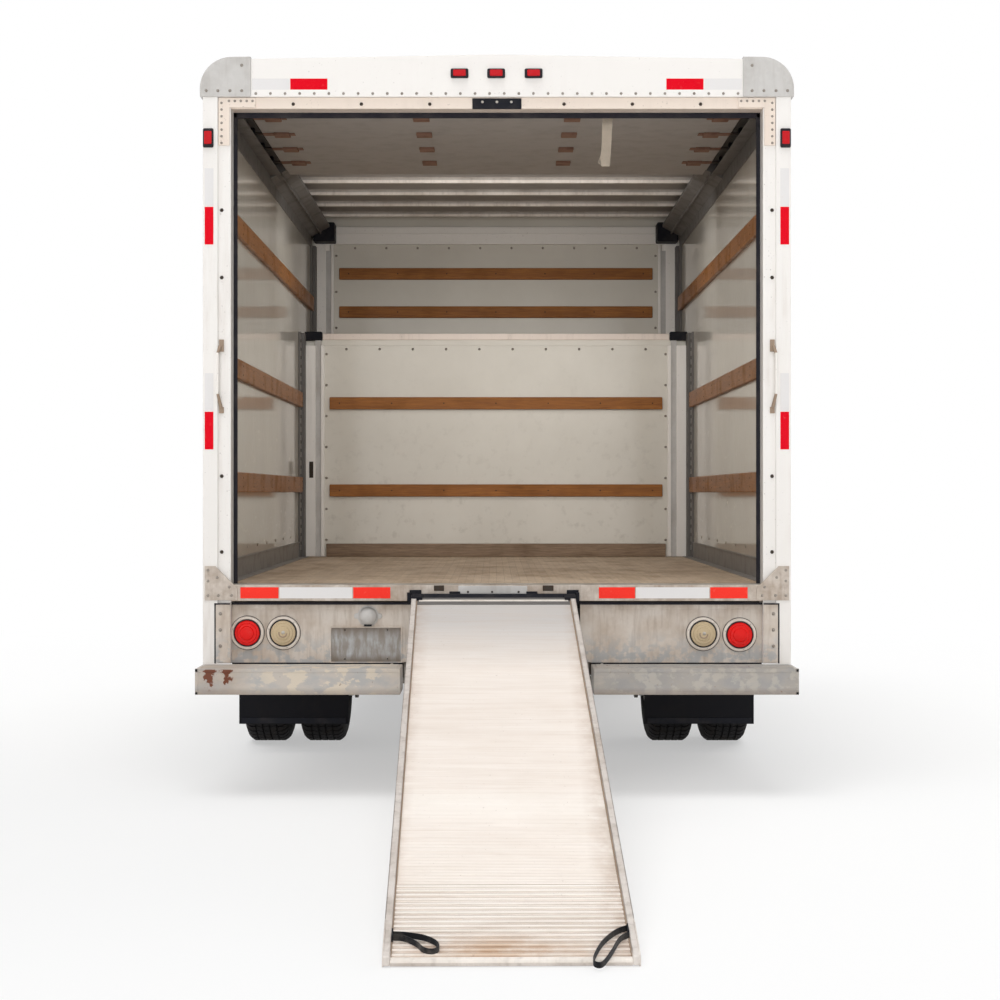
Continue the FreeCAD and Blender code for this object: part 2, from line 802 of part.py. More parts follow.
# ---- cab ----
side_corners = [
    (cab_back, cab_foot, 0),
    (cab_back, cab_height, 40),
    (4560, cab_height, 130),
    (cowl_y, cowl_z, 90),
    (5900, 1110, 110),
    (5975, 640, 0),
    (5900, 640, 0),
    (5900, cab_foot, 0),
]
rear_corners = [
    (-half_cab, cab_foot, 0),
    (half_cab, cab_foot, 0),
    (half_cab, 1250, 300),
    (half_cab - 100, cab_height + roof_clear, 120),
    (-half_cab + 100, cab_height + roof_clear, 120),
    (-half_cab, 1250, 300),
]
plan_corners = [
    (-half_cab, cab_back, 0),
    (half_cab, cab_back, 0),
    (half_cab, 5500, 700),
    (half_cab - 110, 5985, 130),
    (-half_cab + 110, 5985, 130),
    (-half_cab, 5500, 700),
]


def cab_envelope(inset):
    """The cab's outer shape, or one set in from it by the given thickness."""
    side = along_x(side_corners, (-half_cab, half_cab), inset)
    rear = along_y(rear_corners, (cab_back, 5990), inset)
    plan = along_z(plan_corners, (cab_foot, cab_height), inset)
    return side.common(rear).common(plan)


def door_outline(grow):
    """Side view of the door, larger by the gap around it where grow is given."""
    front = door_front + grow
    rear = door_rear - grow
    return [(rear, door_sill - grow, 30), (front, door_sill - grow, 30), (front, belt - 40, 60),
            (4560 + grow, 1975 + grow, 90), (rear, 1985 + grow, 60)]


def door_window():
    return [(door_rear + 90, belt, 30), (door_front - 55, belt, 30), (4545, 1905, 60), (door_rear + 90, 1915, 50)]


def cab_skin():
    """The whole cab as one thick skin, open below."""
    outer = cab_envelope(0)
    inner = cab_envelope(cab_wall)
    below = block((-half_cab + 60, half_cab - 60), (cab_back - 1, 5840),
                  (cab_foot - 1, cab_floor_top - cab_floor_thickness))
    skin = outer.cut(inner).cut(below)
    for side in (-1, 1):
        rail_end = block((side * (frame_rail_outer + 10), side * (frame_rail_outer - frame_rail_width - 10)),
                         (5780, 5910), (front_rail[0] - 10, front_rail[1] + 10))
        skin = skin.cut(rail_end)
    return skin


def windscreen_window(grow=0):
    """The windscreen's opening, seen square to the front."""
    low, high = cowl_z + 50, cab_height - 115
    return along_y([(-820, low, 60), (820, low, 60), (725, high, 70), (-725, high, 70)], (4450, 5400))


def arch_space(grow=0):
    """The space that the right front wheel needs."""
    radius = wheel_arch_radius + grow
    wheel_space = rod((540, front_axle_y, tyre_radius), (half_cab + 20, front_axle_y, tyre_radius), radius)
    below = block((540, half_cab + 20), (front_axle_y - radius, front_axle_y + radius),
                  (cab_foot - 200, tyre_radius))
    return wheel_space.fuse(below)


def hood_zone(grow=0, nose_grow=0):
    """The part of the skin that lifts as the hood."""
    across = (-hood_half - grow, hood_half + grow)
    return block(across, (hood_rear - 2 * grow, hood_front + nose_grow), (1050 - grow, 1400))


def cab_shell(skin):
    """Roof, back, pillars, cowl, rockers and door surrounds."""
    back_part = block((-half_cab - 1, half_cab + 1), (cab_back, cowl_y + 20), (cab_foot, cab_height + 1))
    low_front = block((-half_cab - 1, half_cab + 1), (door_front + door_gap, cowl_y + 21), (cab_foot - 1, cowl_z - 120))
    shell = skin.common(back_part).cut(low_front)
    for side in (-1, 1):
        shell = shell.cut(along_x(door_outline(door_gap), (side * 600, side * (half_cab + 50))))
    return fused([shell.cut(windscreen_window())] + hood_hinges())


def hood_hinge_axis():
    """Side view of the hood's hinge line, at its rear edge."""
    gap = hood_rear - cowl_y - 20
    return (hood_rear - gap / 2, 1280)


def hood_hinges():
    """Two barrels on the cowl that the hood turns about."""
    y, z = hood_hinge_axis()
    radius = hood_rear - y - seat_gap
    pieces = []
    for side in (-1, 1):
        ends = (side * 480, side * 600)
        pieces.append(rod((ends[0], y, z), (ends[1], y, z), radius))
        pieces.append(block(ends, (cowl_y + 10, y), (z - radius, z - 1)))
    return pieces


def glass_skin():
    """A thin layer in the middle of the skin, which every window is cut from."""
    middle = (cab_wall - glass) / 2
    return cab_envelope(middle).cut(cab_envelope(middle + glass))


def windscreen(layer):
    zone = windscreen_window().common(block((-900, 900), (4500, 5400), (cowl_z - 100, cab_height)))
    return layer.common(zone)


def cab_door(skin, side):
    outline = along_x(door_outline(0), (side * 600, side * (half_cab + 50)))
    opening = along_x(door_window(), (side * 600, side * (half_cab + 50)))
    return skin.common(outline).cut(opening)


def door_glass(layer, side):
    return layer.common(along_x(door_window(), (side * 600, side * (half_cab + 50))))


def hood(skin):
    return skin.common(hood_zone())


def fenders(skin):
    """Front wings and nose panel around the hood, as one front end."""
    ahead = block((-half_cab - 1, half_cab + 1), (door_front + door_gap, 6000), (cab_foot - 1, cowl_z + 100))
    behind = block((-half_cab - 1, half_cab + 1), (door_front, cowl_y + 20), (cowl_z - 120, cowl_z + 200))
    front = skin.common(ahead).cut(behind).cut(hood_zone(door_gap, hood_nose_gap))
    arch = arch_space()
    front = front.cut(arch).cut(mirrored(arch))
    for opening in nose_openings():
        front = front.cut(opening)
    hinges = [door_hinge(z) for z in door_hinges]
    return fused([front, wheel_liner(), mirrored(wheel_liner())] + hinges + [mirrored(hinge) for hinge in hinges])


def door_hinge(z):
    """Hinge barrel of the right door, in the gap ahead of it, on a leaf outside the wing."""
    x, y = hinge_axis()
    barrel = rod((x, y, z), (x, y, z + hinge_length), hinge_radius)
    leaf = block((half_cab - 1, half_cab + 4), (y + 2, y + 45), (z, z + hinge_length))
    return fused([barrel, leaf])


def hinge_axis():
    """Plan position of the right door's hinge line."""
    return (half_cab + 1, door_front + door_gap / 2)


def nose_openings():
    """Holes in the nose panel for the grille and the two headlamps."""
    holes = [block((-430, 430), (5700, 6050), (760, 1010))]
    for side in (-1, 1):
        holes.append(block((side * 470, side * 800), (5700, 6050), (800, 1000)))
    return holes


def grille(skin_layer):
    """Slatted grille set in the nose panel."""
    hole = nose_openings()[0]
    plate = skin_layer.common(hole)
    for level in range(5):
        z = 785 + level * 46
        plate = plate.cut(block((-400, 400), (5700, 6050), (z, z + 24)))
    return plate


def headlamps(skin_layer):
    return together([skin_layer.common(hole) for hole in nose_openings()[1:]])


def engine_cover(grow):
    """The box over the rear of the engine, larger by the given gap."""
    return block((-310 - grow, 310 + grow), (4560 - grow, firewall_y + 20),
                 (cab_floor_top - cab_floor_thickness, 1100 + grow))


def cab_floor():
    """Floor pan, firewall and the cover over the rear of the engine."""
    half = half_cab - cab_wall - 30
    z = (cab_floor_top - cab_floor_thickness, cab_floor_top)
    pan = block((-half, half), (cab_back + cab_wall, 4700), z)
    fire = block((-half, half), (firewall_y, firewall_y + 20), (cab_floor_top, cowl_z - 90))
    toe = along_x(sharp([(4700, z[0]), (4700, z[1]), (firewall_y, 900), (firewall_y + 20, 900), (firewall_y + 20, 880)]),
                  (-half, half))
    cover = engine_cover(0)
    hollow = block((-285, 285), (4585, firewall_y + 30), (z[0] - 5, 1075))
    floor = fused([pan, fire, toe, cover] + body_mounts())
    return floor.cut(hollow).cut(liner_space()).cut(mirrored(liner_space()))


def body_mounts():
    """Blocks between the frame and the cab floor."""
    pieces = []
    for y in (4020, 4420):
        mount = block((frame_rail_outer - frame_rail_width, frame_rail_outer), (y, y + 70),
                      (front_rail[1], cab_floor_top - cab_floor_thickness))
        pieces += [mount, mirrored(mount)]
    return pieces


def seat():
    """Right seat on its pedestal."""
    x = (330, 860)
    cushion = block(x, (4000, 4500), (950, 1075))
    base = block((x[0] + 60, x[1] - 60), (4060, 4460), (cab_floor_top, 950))
    back = along_x([(3935, 1060, 20), (4090, 1060, 20), (4010, 1600, 40), (3925, 1600, 30)], x)
    head = block((x[0] + 130, x[1] - 130), (3925, 4000), (1600, 1760))
    return fused([cushion, base, back, head])


def dashboard():
    half = half_cab - cab_wall - 40
    panel = along_x([(4700, 1000, 40), (firewall_y, 930, 0), (firewall_y, 1195, 0), (4700, 1185, 50)], (-half, half))
    return panel.cut(engine_cover(seat_gap))


def steering_wheel():
    """Wheel and column in front of the left seat."""
    centre = Vector(-560, 4590, 1290)
    way = Vector(0, -0.82, 0.57).normalize()
    rim = Part.makeTorus(190, 15, centre, way)
    hub = rod(centre - way * 12, centre + way * 18, 55)
    column = rod(centre - way * 12, centre - way * 200, 25)
    spokes = []
    for turn in (0, 120, 240):
        angle = math.radians(turn)
        across = Vector(1, 0, 0) * math.cos(angle) + way.cross(Vector(1, 0, 0)) * math.sin(angle)
        spokes.append(rod(centre + across * 50, centre + across * 185, 11))
    return fused([rim, hub, column] + spokes)


def front_bumper():
    """Chromed bumper, bent back at its ends, with its two brackets."""
    bar = along_z([(-960, 5905, 0), (960, 5905, 0), (960, 5990, 60), (820, nose, 160), (-820, nose, 160),
                   (-960, 5990, 60)], (430, 632))
    pieces = [bar]
    for side in (-1, 1):
        x = (side * (frame_rail_outer - 50), side * (frame_rail_outer - 10))
        pieces.append(block(x, (rail_ends[1], 5905), (front_rail[0] + 10, front_rail[1] - 15)))
    return fused(pieces)


def liner_space():
    """What the right inner arch and the wheel below it take from the cab's floor."""
    return arch_space(liner_thickness + running_gap)


def wheel_liner():
    """Right inner arch above the front wheel."""
    x = (640, half_cab - cab_wall)
    outer = rod((x[0], front_axle_y, tyre_radius), (x[1], front_axle_y, tyre_radius), wheel_arch_radius + liner_thickness)
    inner = rod((x[0] - 1, front_axle_y, tyre_radius), (x[1] + 1, front_axle_y, tyre_radius), wheel_arch_radius)
    lower = block((x[0] - 1, x[1] + 1), (front_axle_y - wheel_arch_radius - 48, front_axle_y + wheel_arch_radius + 48),
                  (tyre_radius - wheel_arch_radius - 20, liner_foot))
    return outer.cut(inner).cut(lower)


def mirror(side):
    """Two-arm mirror on the door."""
    x = half_cab
    head = along_y([(x + 120, 1225, 30), (x + 310, 1225, 30), (x + 310, 1570, 40), (x + 120, 1570, 40)], (4600, 4665))
    arms = [rod((x - 10, 4632, z), (x + 130, 4632, z), 9) for z in (1238, 1272)]
    plate = block((x - 10, x + 3), (4592, 4672), (1212, 1292))
    pieces = fused([head] + arms + [plate])
    return pieces if side > 0 else mirrored(pieces)


# ---- ramp ----
def laid(shape):
    """Set a ramp piece, drawn level with its hinge at the origin, in its place on the truck."""
    placed = shape.copy()
    placed.rotate(Vector(0, 0, 0), Vector(1, 0, 0), math.degrees(ramp_tilt))
    placed.rotate(Vector(0, 0, 0), Vector(0, 0, 1), ramp_skew)
    placed.translate(Vector(ramp_hinge_x, ramp_hinge_y, ramp_hinge_z))
    return placed


def ramp():
    """Ramp deck between two side rails, with cross bars below and a barrel on its hinge bar."""
    half = ramp_width / 2
    start = -10
    deck = block((-half, half), (start, -ramp_length), (6 - ramp_deck_plate, 6))
    taper = ramp_length - 330
    rail = along_x(sharp([(start, 18), (start, 6 - ramp_depth), (-taper, 6 - ramp_depth),
                          (-ramp_length, -ramp_foot_thickness), (-ramp_length, 6), (-ramp_length + 60, 18)]),
                   (half - 25, half))
    bars = [block((-half + 20, half - 20), (-along, -along - 40), (-40, 6 - ramp_deck_plate))
            for along in range(200, int(taper), 400)]
    foot = along_x(sharp([(-ramp_length + 70, 6 - ramp_deck_plate), (-ramp_length, 6 - ramp_deck_plate),
                          (-ramp_length, -ramp_foot_thickness), (-ramp_length + 70, -ramp_foot_thickness - 4)]),
                   (-half, half))
    barrel = rod((-half + 30, 0, 0), (half - 30, 0, 0), ramp_barrel_radius)
    body = fused([deck, rail, mirrored(rail), barrel, foot] + bars)
    return laid(body.cut(rod((-half - 50, 0, 0), (half + 50, 0, 0), ramp_pin_radius + pin_clearance)))


def ramp_hinge():
    """Bar on the rear sill that the ramp hooks over, with a lug at each end."""
    half = ramp_width / 2 + 12
    bar = rod((-half, 0, 0), (half, 0, 0), ramp_pin_radius)
    bar.rotate(Vector(0, 0, 0), Vector(0, 0, 1), ramp_skew)
    bar.translate(Vector(ramp_hinge_x, ramp_hinge_y, ramp_hinge_z))
    lugs = []
    for side in (-1, 1):
        x = ramp_hinge_x + side * half
        lugs.append(block((x - 6, x + 6), (ramp_hinge_y - 20, 0), (ramp_hinge_z - 11, ramp_hinge_z + 24)))
    return fused([bar] + lugs)


def handle_loop(root, tip):
    """Webbing loop that stands on its edge on the deck, from its root to its tip."""
    reach = math.dist(root, tip)
    corners = [(0, -handle_half, 8), (reach, -handle_half, handle_half - 2), (reach, handle_half, handle_half - 2),
               (0, handle_half, 8)]
    deck = 6
    ring = along_z(corners, (deck, deck + handle_height))
    ring = ring.cut(along_z(corners, (deck - 1, deck + handle_height + 1), handle_thickness))
    ring.rotate(Vector(0, 0, 0), Vector(0, 0, 1), math.degrees(math.atan2(tip[1] - root[1], tip[0] - root[0])))
    ring.translate(Vector(root[0], root[1], 0))
    return laid(ring)


def ramp_handles():
    """A loop at each side near the foot, by which the ramp is pulled out."""
    half = ramp_width / 2
    left = handle_loop((41.5 - half, 100 - ramp_length), (172.5 - half, 72 - ramp_length))
    right = handle_loop((half - 52.5, 120 - ramp_length), (half - 105.5, -36 - ramp_length))
    return together([left, right])


def main():
    os.makedirs("parts", exist_ok=True)
    save("cargo_wall_right", side_wall())
    save("cargo_wall_left", mirrored(side_wall()))
    save("cargo_front_wall", front_wall())
    save("attic_floor", attic_floor())
    save("attic_front", attic_front())
    save("roof", roof())
    save("top_rails", both_sides(top_rail()))
    save("cargo_floor", cargo_floor())
    save("rear_frame", rear_frame())
    save("corner_caps", both_sides(corner_cap()))
    save("door_header", door_header())
    save("tail_panel", together([tail_panel(), left_tail_panel()]))
    save("tail_lamps", tail_lamps())
    save("rear_bumper", rear_bumper())
    save("roll_up_door", roll_up_door())
    save("door_tracks", both_sides(door_track()))
    save("wall_slats", wall_slats())
    save("corner_posts", corner_posts())
    save("scuff_plates", scuff_plates())
    save("pull_strap", pull_strap())
    save("chassis_frame", chassis_frame())
    save("ramp_bay", ramp_bay())
    save("rear_axle", rear_axle())
    save("driveshaft", driveshaft())
    save("springs", together([both_sides(leaf_spring()), both_sides(front_spring())]))
    save("front_axle", front_axle())
    save("engine_block", engine_block())
    save("fuel_tank", fuel_tank())
    save("exhaust", exhaust())
    save("mud_flaps", mud_flaps())
    skin = cab_skin()
    layer = glass_skin()
    save("cab_shell", cab_shell(skin))
    save("front_end", fenders(skin))
    save("hood", hood(skin))
    save("windscreen", windscreen(layer))
    save("grille", grille(layer))
    save("headlamps", headlamps(layer))
    save("cab_floor", cab_floor())
    save("seats", both_sides(seat()))
    save("dashboard", fused([dashboard(), steering_wheel()]))
    save("front_bumper", front_bumper())
    for side, name in ((-1, "left"), (1, "right")):
        save("cab_door_" + name, fused([cab_door(skin, side), mirror(side)]))
        save("door_glass_" + name, door_glass(layer, side))
        save("knuckle_" + name, knuckle(side))
        save("front_wheel_" + name, front_wheel(side))
        save("front_tyre_" + name, tyre(side * front_track / 2, front_axle_y, side))
        save("rear_wheels_" + name, rear_wheels(side))
        save("rear_tyres_" + name, rear_tyres(side))
    save("ramp", ramp())
    save("ramp_hinge", ramp_hinge())
    save("ramp_handles", ramp_handles())


main()
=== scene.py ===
"""Box truck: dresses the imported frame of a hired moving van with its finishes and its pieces."""

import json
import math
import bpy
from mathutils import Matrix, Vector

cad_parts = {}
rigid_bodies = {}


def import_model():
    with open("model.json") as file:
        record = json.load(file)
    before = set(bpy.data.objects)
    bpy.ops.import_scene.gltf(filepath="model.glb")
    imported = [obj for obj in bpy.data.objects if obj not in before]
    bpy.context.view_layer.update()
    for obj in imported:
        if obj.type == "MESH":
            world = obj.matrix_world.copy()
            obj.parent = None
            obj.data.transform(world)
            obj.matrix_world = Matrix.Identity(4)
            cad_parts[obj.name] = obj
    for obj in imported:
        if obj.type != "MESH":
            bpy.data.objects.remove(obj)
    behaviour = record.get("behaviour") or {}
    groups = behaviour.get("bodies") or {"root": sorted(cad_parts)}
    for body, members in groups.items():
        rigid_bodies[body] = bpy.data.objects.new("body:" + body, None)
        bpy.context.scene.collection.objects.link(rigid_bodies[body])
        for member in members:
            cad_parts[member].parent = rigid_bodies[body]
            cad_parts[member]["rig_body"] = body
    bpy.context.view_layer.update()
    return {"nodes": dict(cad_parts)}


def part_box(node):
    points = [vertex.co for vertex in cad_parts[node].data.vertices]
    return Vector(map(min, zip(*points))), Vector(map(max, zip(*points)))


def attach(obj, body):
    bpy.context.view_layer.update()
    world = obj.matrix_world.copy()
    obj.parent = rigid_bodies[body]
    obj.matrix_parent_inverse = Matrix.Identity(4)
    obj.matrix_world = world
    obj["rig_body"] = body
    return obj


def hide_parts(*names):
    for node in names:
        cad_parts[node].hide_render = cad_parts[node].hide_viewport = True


bl_info = {
    "name": "Box truck",
    "version": (1, 0, 0),
    "blender": (4, 5, 0),
    "location": "3D View > Sidebar > Truck",
    "description": "Finishes a moving van with an open rear door and a loading ramp",
    "category": "Object",
}

import bmesh
import bpy
from bpy.props import FloatProperty, FloatVectorProperty, IntProperty, PointerProperty
from mathutils import Matrix, Vector

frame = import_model()
NODES = frame["nodes"]
MM = 0.001
FINISHES, SLOTS, TREES = {}, {}, {}


# ---- the frame's places ----
def low(node):
    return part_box(node)[0]


def high(node):
    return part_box(node)[1]


REAR = low("rear_frame").y
DECK = high("cargo_floor").z
INSIDE = high("cargo_floor").x
OPENING = high("door_header").x
FRONT_WALL = low("cargo_front_wall").y
ATTIC_DECK = high("attic_floor").z
ATTIC_WALL = low("attic_front").y
HEADER_FOOT = high("door_header").z
HEADER_DROP = low("door_header").z
JAMB = REAR + 0.012          # face of the door's jambs
PANEL = REAR + 0.045         # face of the tail panel
ATTIC_FACE = high("attic_front").y
SIDES = (-1, 1)
NAMED_SIDES = (("left", -1), ("right", 1))
BACK = Vector((0, -1, 0))    # the way out of the open rear
RAMP_TOP = high("ramp_hinge").z - 0.024
RAMP_LENGTH = 3.2
RAMP_TILT = math.asin((RAMP_TOP - 0.012) / RAMP_LENGTH)
WAVE = math.pi / 10          # length of one band of a wave texture at a scale of 1


# ---- colours ----
def linear(code):
    """Turn an sRGB hex code into linear red, green, blue."""
    parts = [int(code[place:place + 2], 16) / 255 for place in (1, 3, 5)]
    return tuple(part / 12.92 if part <= 0.04045 else ((part + 0.055) / 1.055) ** 2.4
                 for part in parts)


def shade(code):
    """Red, green, blue and alpha of a hex code or of a linear colour."""
    return (*(linear(code) if isinstance(code, str) else code[:3]), 1.0)


def colour(name, about, code):
    return FloatVectorProperty(name=name, description=about, subtype="COLOR", size=3, min=0, max=1,
                               default=linear(code))


def length(name, about, millimetres):
    return FloatProperty(name=name, description=about, default=millimetres * MM, min=0,
                         unit="LENGTH", precision=4)


class TruckColours(bpy.types.PropertyGroup):
    """Colours a fleet owner would change"""
    body: colour("Body", "Enamel of the box, cab and rear frame", "#EFEBE6")
    liner: colour("Liner", "Panels inside the load space", "#DCD7CC")
    slats: colour("Slats", "Stained wood of the rub rails", "#B07132")
    floor: colour("Floor", "Worn boards of the load floor", "#9A856F")
    ramp: colour("Ramp", "Dull aluminium of the ramp", "#FAF2EA")
    tape: colour("Tape", "Reflecting tape", "#E0021F")


class TruckSizes(bpy.types.PropertyGroup):
    """Sizes of the small fittings"""
    rivet: length("Rivet", "Radius of a rivet's head", 5)
    edge: length("Edge", "Rounding on folded sheet metal", 2.5)
    seam_pitch: length("Seam pitch", "Distance between rivets along a seam", 60)
    panel_pitch: length("Panel pitch", "Distance between the side walls' panel joints", 610)
    tread_blocks: IntProperty(name="Tread blocks", description="Blocks round one tyre",
                              default=56, min=8)


class TruckStage(bpy.types.PropertyGroup):
    """Camera and light"""
    distance: length("Distance", "From the rear frame to the camera", 8400)
    eye_height: length("Eye height", "Camera above the ground", 1235)
    lens: FloatProperty(name="Lens", description="Focal length", default=72.9, unit="CAMERA")
    key: FloatProperty(name="Key", description="Strength of the soft light from behind the camera",
                       default=1.55)
    inside: FloatProperty(name="Inside",
                          description="Power of the lamp under the load space's ceiling",
                          default=14, unit="POWER")
    fill: FloatProperty(name="Fill", description="Strength of the light from all round",
                        default=0.42)


# ---- meshes ----
def add_block(shape, corner, opposite):
    """A closed box between two corners."""
    corner, opposite = Vector(corner), Vector(opposite)
    size = opposite - corner
    place = Matrix.Translation((corner + opposite) / 2) @ Matrix.Diagonal((*map(abs, size), 1))
    return bmesh.ops.create_cube(shape, size=1, matrix=place)["verts"]


def add_pair(shape, corner, opposite):
    """A block on the right of the middle, and its mirror image on the left."""
    for side in SIDES:
        add_block(shape, (side * corner[0], *corner[1:]), (side * opposite[0], *opposite[1:]))


def add_rod(shape, start, end, radius, sides=24, end_radius=None):
    """A round bar, or a cone when its two radii differ."""
    start, end = Vector(start), Vector(end)
    turn = (end - start).to_track_quat("Z", "Y").to_matrix().to_4x4()
    place = Matrix.Translation((start + end) / 2) @ turn
    return bmesh.ops.create_cone(shape, cap_ends=True, segments=sides, radius1=radius,
                                 radius2=radius if end_radius is None else end_radius,
                                 depth=(end - start).length, matrix=place)["verts"]


def add_lathe(shape, profile, centre, axis, sides=48):
    """A closed profile of (along, radius) turned about an axis through the centre."""
    turn = Vector(axis).to_track_quat("Z", "Y").to_matrix().to_4x4()
    place = Matrix.Translation(centre) @ turn
    rings = []
    for along, radius in profile:
        if radius < 1e-6:
            rings.append([shape.verts.new(place @ Vector((0, 0, along)))] * sides)
            continue
        angles = [2 * math.pi * step / sides for step in range(sides)]
        rings.append([shape.verts.new(place @ Vector((radius * math.cos(angle),
                                                      radius * math.sin(angle), along)))
                      for angle in angles])
    pairs = list(zip(rings, rings[1:]))
    if rings[0][0] is not rings[0][1]:
        pairs.append((rings[-1], rings[0]))
    for ring, following in pairs:
        for step in range(sides):
            after = (step + 1) % sides
            corners = []
            for vert in (ring[step], ring[after], following[after], following[step]):
                if vert not in corners:
                    corners.append(vert)
            if len(corners) > 2:
                shape.faces.new(corners)


def add_slab(shape, outline, axis, start, end):
    """An outline of two coordinates pushed from start to end along the third axis."""
    order = {"x": (2, 0, 1), "y": (0, 2, 1), "z": (0, 1, 2)}[axis]
    add_rows(shape, [[shape.verts.new([(*point, depth)[place] for place in order])
                      for point in outline] for depth in (start, end)])


def add_ribbon(shape, line, across, thickness):
    """A flat strap along a line of points, whose width is one for all points or one for each."""
    widths = across if isinstance(across, list) else [across] * len(line)
    rows = []
    for step, point in enumerate(line):
        across = Vector(widths[step])
        before, after = Vector(line[max(step - 1, 0)]), Vector(line[min(step + 1, len(line) - 1)])
        out = (after - before).cross(across).normalized() * thickness / 2
        point = Vector(point)
        rows.append([shape.verts.new(point + side * across / 2 + lift * out)
                     for side, lift in ((-1, -1), (1, -1), (1, 1), (-1, 1))])
    add_rows(shape, rows)


def add_rows(shape, rows, closed=False):
    """Bridge equal closed sections, one after another, and cap the ends of an open run."""
    for row, following in zip(rows, rows[1:] + rows[:1] if closed else rows[1:]):
        for step in range(len(row)):
            after = (step + 1) % len(row)
            shape.faces.new((row[step], row[after], following[after], following[step]))
    if not closed:
        shape.faces.new(rows[0][::-1])
        shape.faces.new(rows[-1])


def smooth_line(points, steps=8):
    """Points on a soft curve through the given ones."""
    points = [Vector(point) for point in points]
    padded = [points[0] * 2 - points[1]] + points + [points[-1] * 2 - points[-2]]
    line = []
    for a, b, c, d in zip(padded, padded[1:], padded[2:], padded[3:]):
        for step in range(steps):
            t = step / steps
            line.append(0.5 * (2 * b + (c - a) * t + (2 * a - 5 * b + 4 * c - d) * t * t
                               + (3 * b - a - 3 * c + d) * t ** 3))
    return line + [points[-1]]


def plain_mesh(name, mesh, change):
    """Apply modifiers that change() adds, and give back the finished mesh."""
    holder = linked(name + "_holder", mesh)
    change(holder)
    bpy.context.view_layer.update()
    graph = bpy.context.evaluated_depsgraph_get()
    made = bpy.data.meshes.new_from_object(holder.evaluated_get(graph), depsgraph=graph)
    bpy.data.objects.remove(holder)
    return made


def rounded(name, mesh, edge, segments=2):
    """Round the mesh's sharp edges and keep its flat faces shaded flat."""
    mesh.shade_smooth()

    def change(holder):
        bevel = holder.modifiers.new("Round", "BEVEL")
        bevel.width = edge
        bevel.segments = segments
        bevel.limit_method = "ANGLE"
        bevel.angle_limit = math.radians(32)
        bevel.harden_normals = True
    return plain_mesh(name, mesh, change)


def blanks(count):
    """Empty shapes, to be built up piece by piece."""
    return [bmesh.new() for _ in range(count)]


def as_mesh(name, shape):
    """Turn a built-up shape into a mesh with its faces outward; a mesh stays as it is."""
    if isinstance(shape, bpy.types.Mesh):
        return shape
    bmesh.ops.recalc_face_normals(shape, faces=shape.faces)
    mesh = bpy.data.meshes.new(name)
    shape.to_mesh(mesh)
    shape.free()
    return mesh


def linked(name, data):
    """A new object in the scene."""
    made = bpy.data.objects.new(name, data)
    bpy.context.scene.collection.objects.link(made)
    return made


def keep(name, shape, finish, body="truck", edge=0.0, stands_for=(), sharp=38):
    """Make a finished piece from a shape or mesh, with its finish, and let it ride on a body."""
    mesh = as_mesh(name, shape)
    if edge:
        mesh = rounded(name, mesh, edge)
    mesh.name = name
    if not mesh.materials:
        mesh.materials.append(FINISHES[finish])
    if not mesh.has_custom_normals:
        mesh.shade_smooth()
        mesh.set_sharp_from_angle(angle=math.radians(sharp))
    piece = linked(name, mesh)
    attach(piece, body)
    if stands_for:
        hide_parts(*stands_for)
    return piece


def block(name, corner, opposite, finish, **settings):
    """Keep a piece that is one block."""
    shape = bmesh.new()
    add_block(shape, corner, opposite)
    return keep(name, shape, finish, **settings)


def joined_mesh(node):
    """A copy of a CAD node's mesh with its loose triangles merged into flat faces."""
    shape = bmesh.new()
    shape.from_mesh(NODES[node].data)
    bmesh.ops.remove_doubles(shape, verts=shape.verts, dist=0.02 * MM)
    bmesh.ops.dissolve_limit(shape, angle_limit=math.radians(0.6), verts=shape.verts,
                             edges=shape.edges)
    for layer in list(shape.loops.layers.float_vector.values()):
        shape.loops.layers.float_vector.remove(layer)
    mesh = bpy.data.meshes.new(node)
    shape.to_mesh(mesh)
    shape.free()
    for extra in [item for item in mesh.attributes if item.name == "custom_normal"]:
        mesh.attributes.remove(extra)
    return mesh


def dress(mesh, finish, others=()):
    """Give a mesh its finish; others are (finish, test of a face's middle and normal)."""
    mesh.materials.clear()
    for choice in (finish, *(other[0] for other in others)):
        mesh.materials.append(FINISHES[choice])
    for face in mesh.polygons:
        face.material_index = 0
        for index, (_, test) in enumerate(others, 1):
            if test(face.center, face.normal):
                face.material_index = index


def refined(node, finish, edge=None, others=()):
    """Stand in for a CAD node with a merged, rounded copy of it."""
    mesh = joined_mesh(node)
    if edge is None:
        edge = bpy.context.scene.truck_sizes.edge
    if edge:
        mesh = rounded(node, mesh, edge)
    dress(mesh, finish, others)
    return keep(node + "_finished", mesh, finish, NODES[node]["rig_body"], stands_for=[node])


# ---- geometry trees ----
def add_node(tree, kind, inputs=None, **settings):
    """Add a node, set its properties, and fill its inputs with values or other nodes' outputs."""
    made = tree.nodes.new(kind)
    for name, value in settings.items():
        setattr(made, name, value)
    for name, value in (inputs or {}).items():
        if isinstance(value, bpy.types.NodeSocket):
            tree.links.new(value, made.inputs[name])
        else:
            made.inputs[name].default_value = value
    return made


def new_tree(name, sockets):
    """A geometry tree with named inputs; gives the tree and its input node."""
    tree = bpy.data.node_groups.new(name, "GeometryNodeTree")
    tree.interface.new_socket("Geometry", in_out="INPUT", socket_type="NodeSocketGeometry")
    for label, kind in sockets:
        tree.interface.new_socket(label, in_out="INPUT", socket_type="NodeSocket" + kind)
    tree.interface.new_socket("Geometry", in_out="OUTPUT", socket_type="NodeSocketGeometry")
    return tree, tree.nodes.new("NodeGroupInput").outputs


def end_tree(tree, geometry, finish):
    """Make instances real, give them their finish and send them out."""
    real = add_node(tree, "GeometryNodeRealizeInstances", {"Geometry": geometry})
    dressed = add_node(tree, "GeometryNodeSetMaterial", {"Geometry": real.outputs[0],
                                                         "Material": finish})
    add_node(tree, "NodeGroupOutput", {"Geometry": dressed.outputs[0]})
    return tree


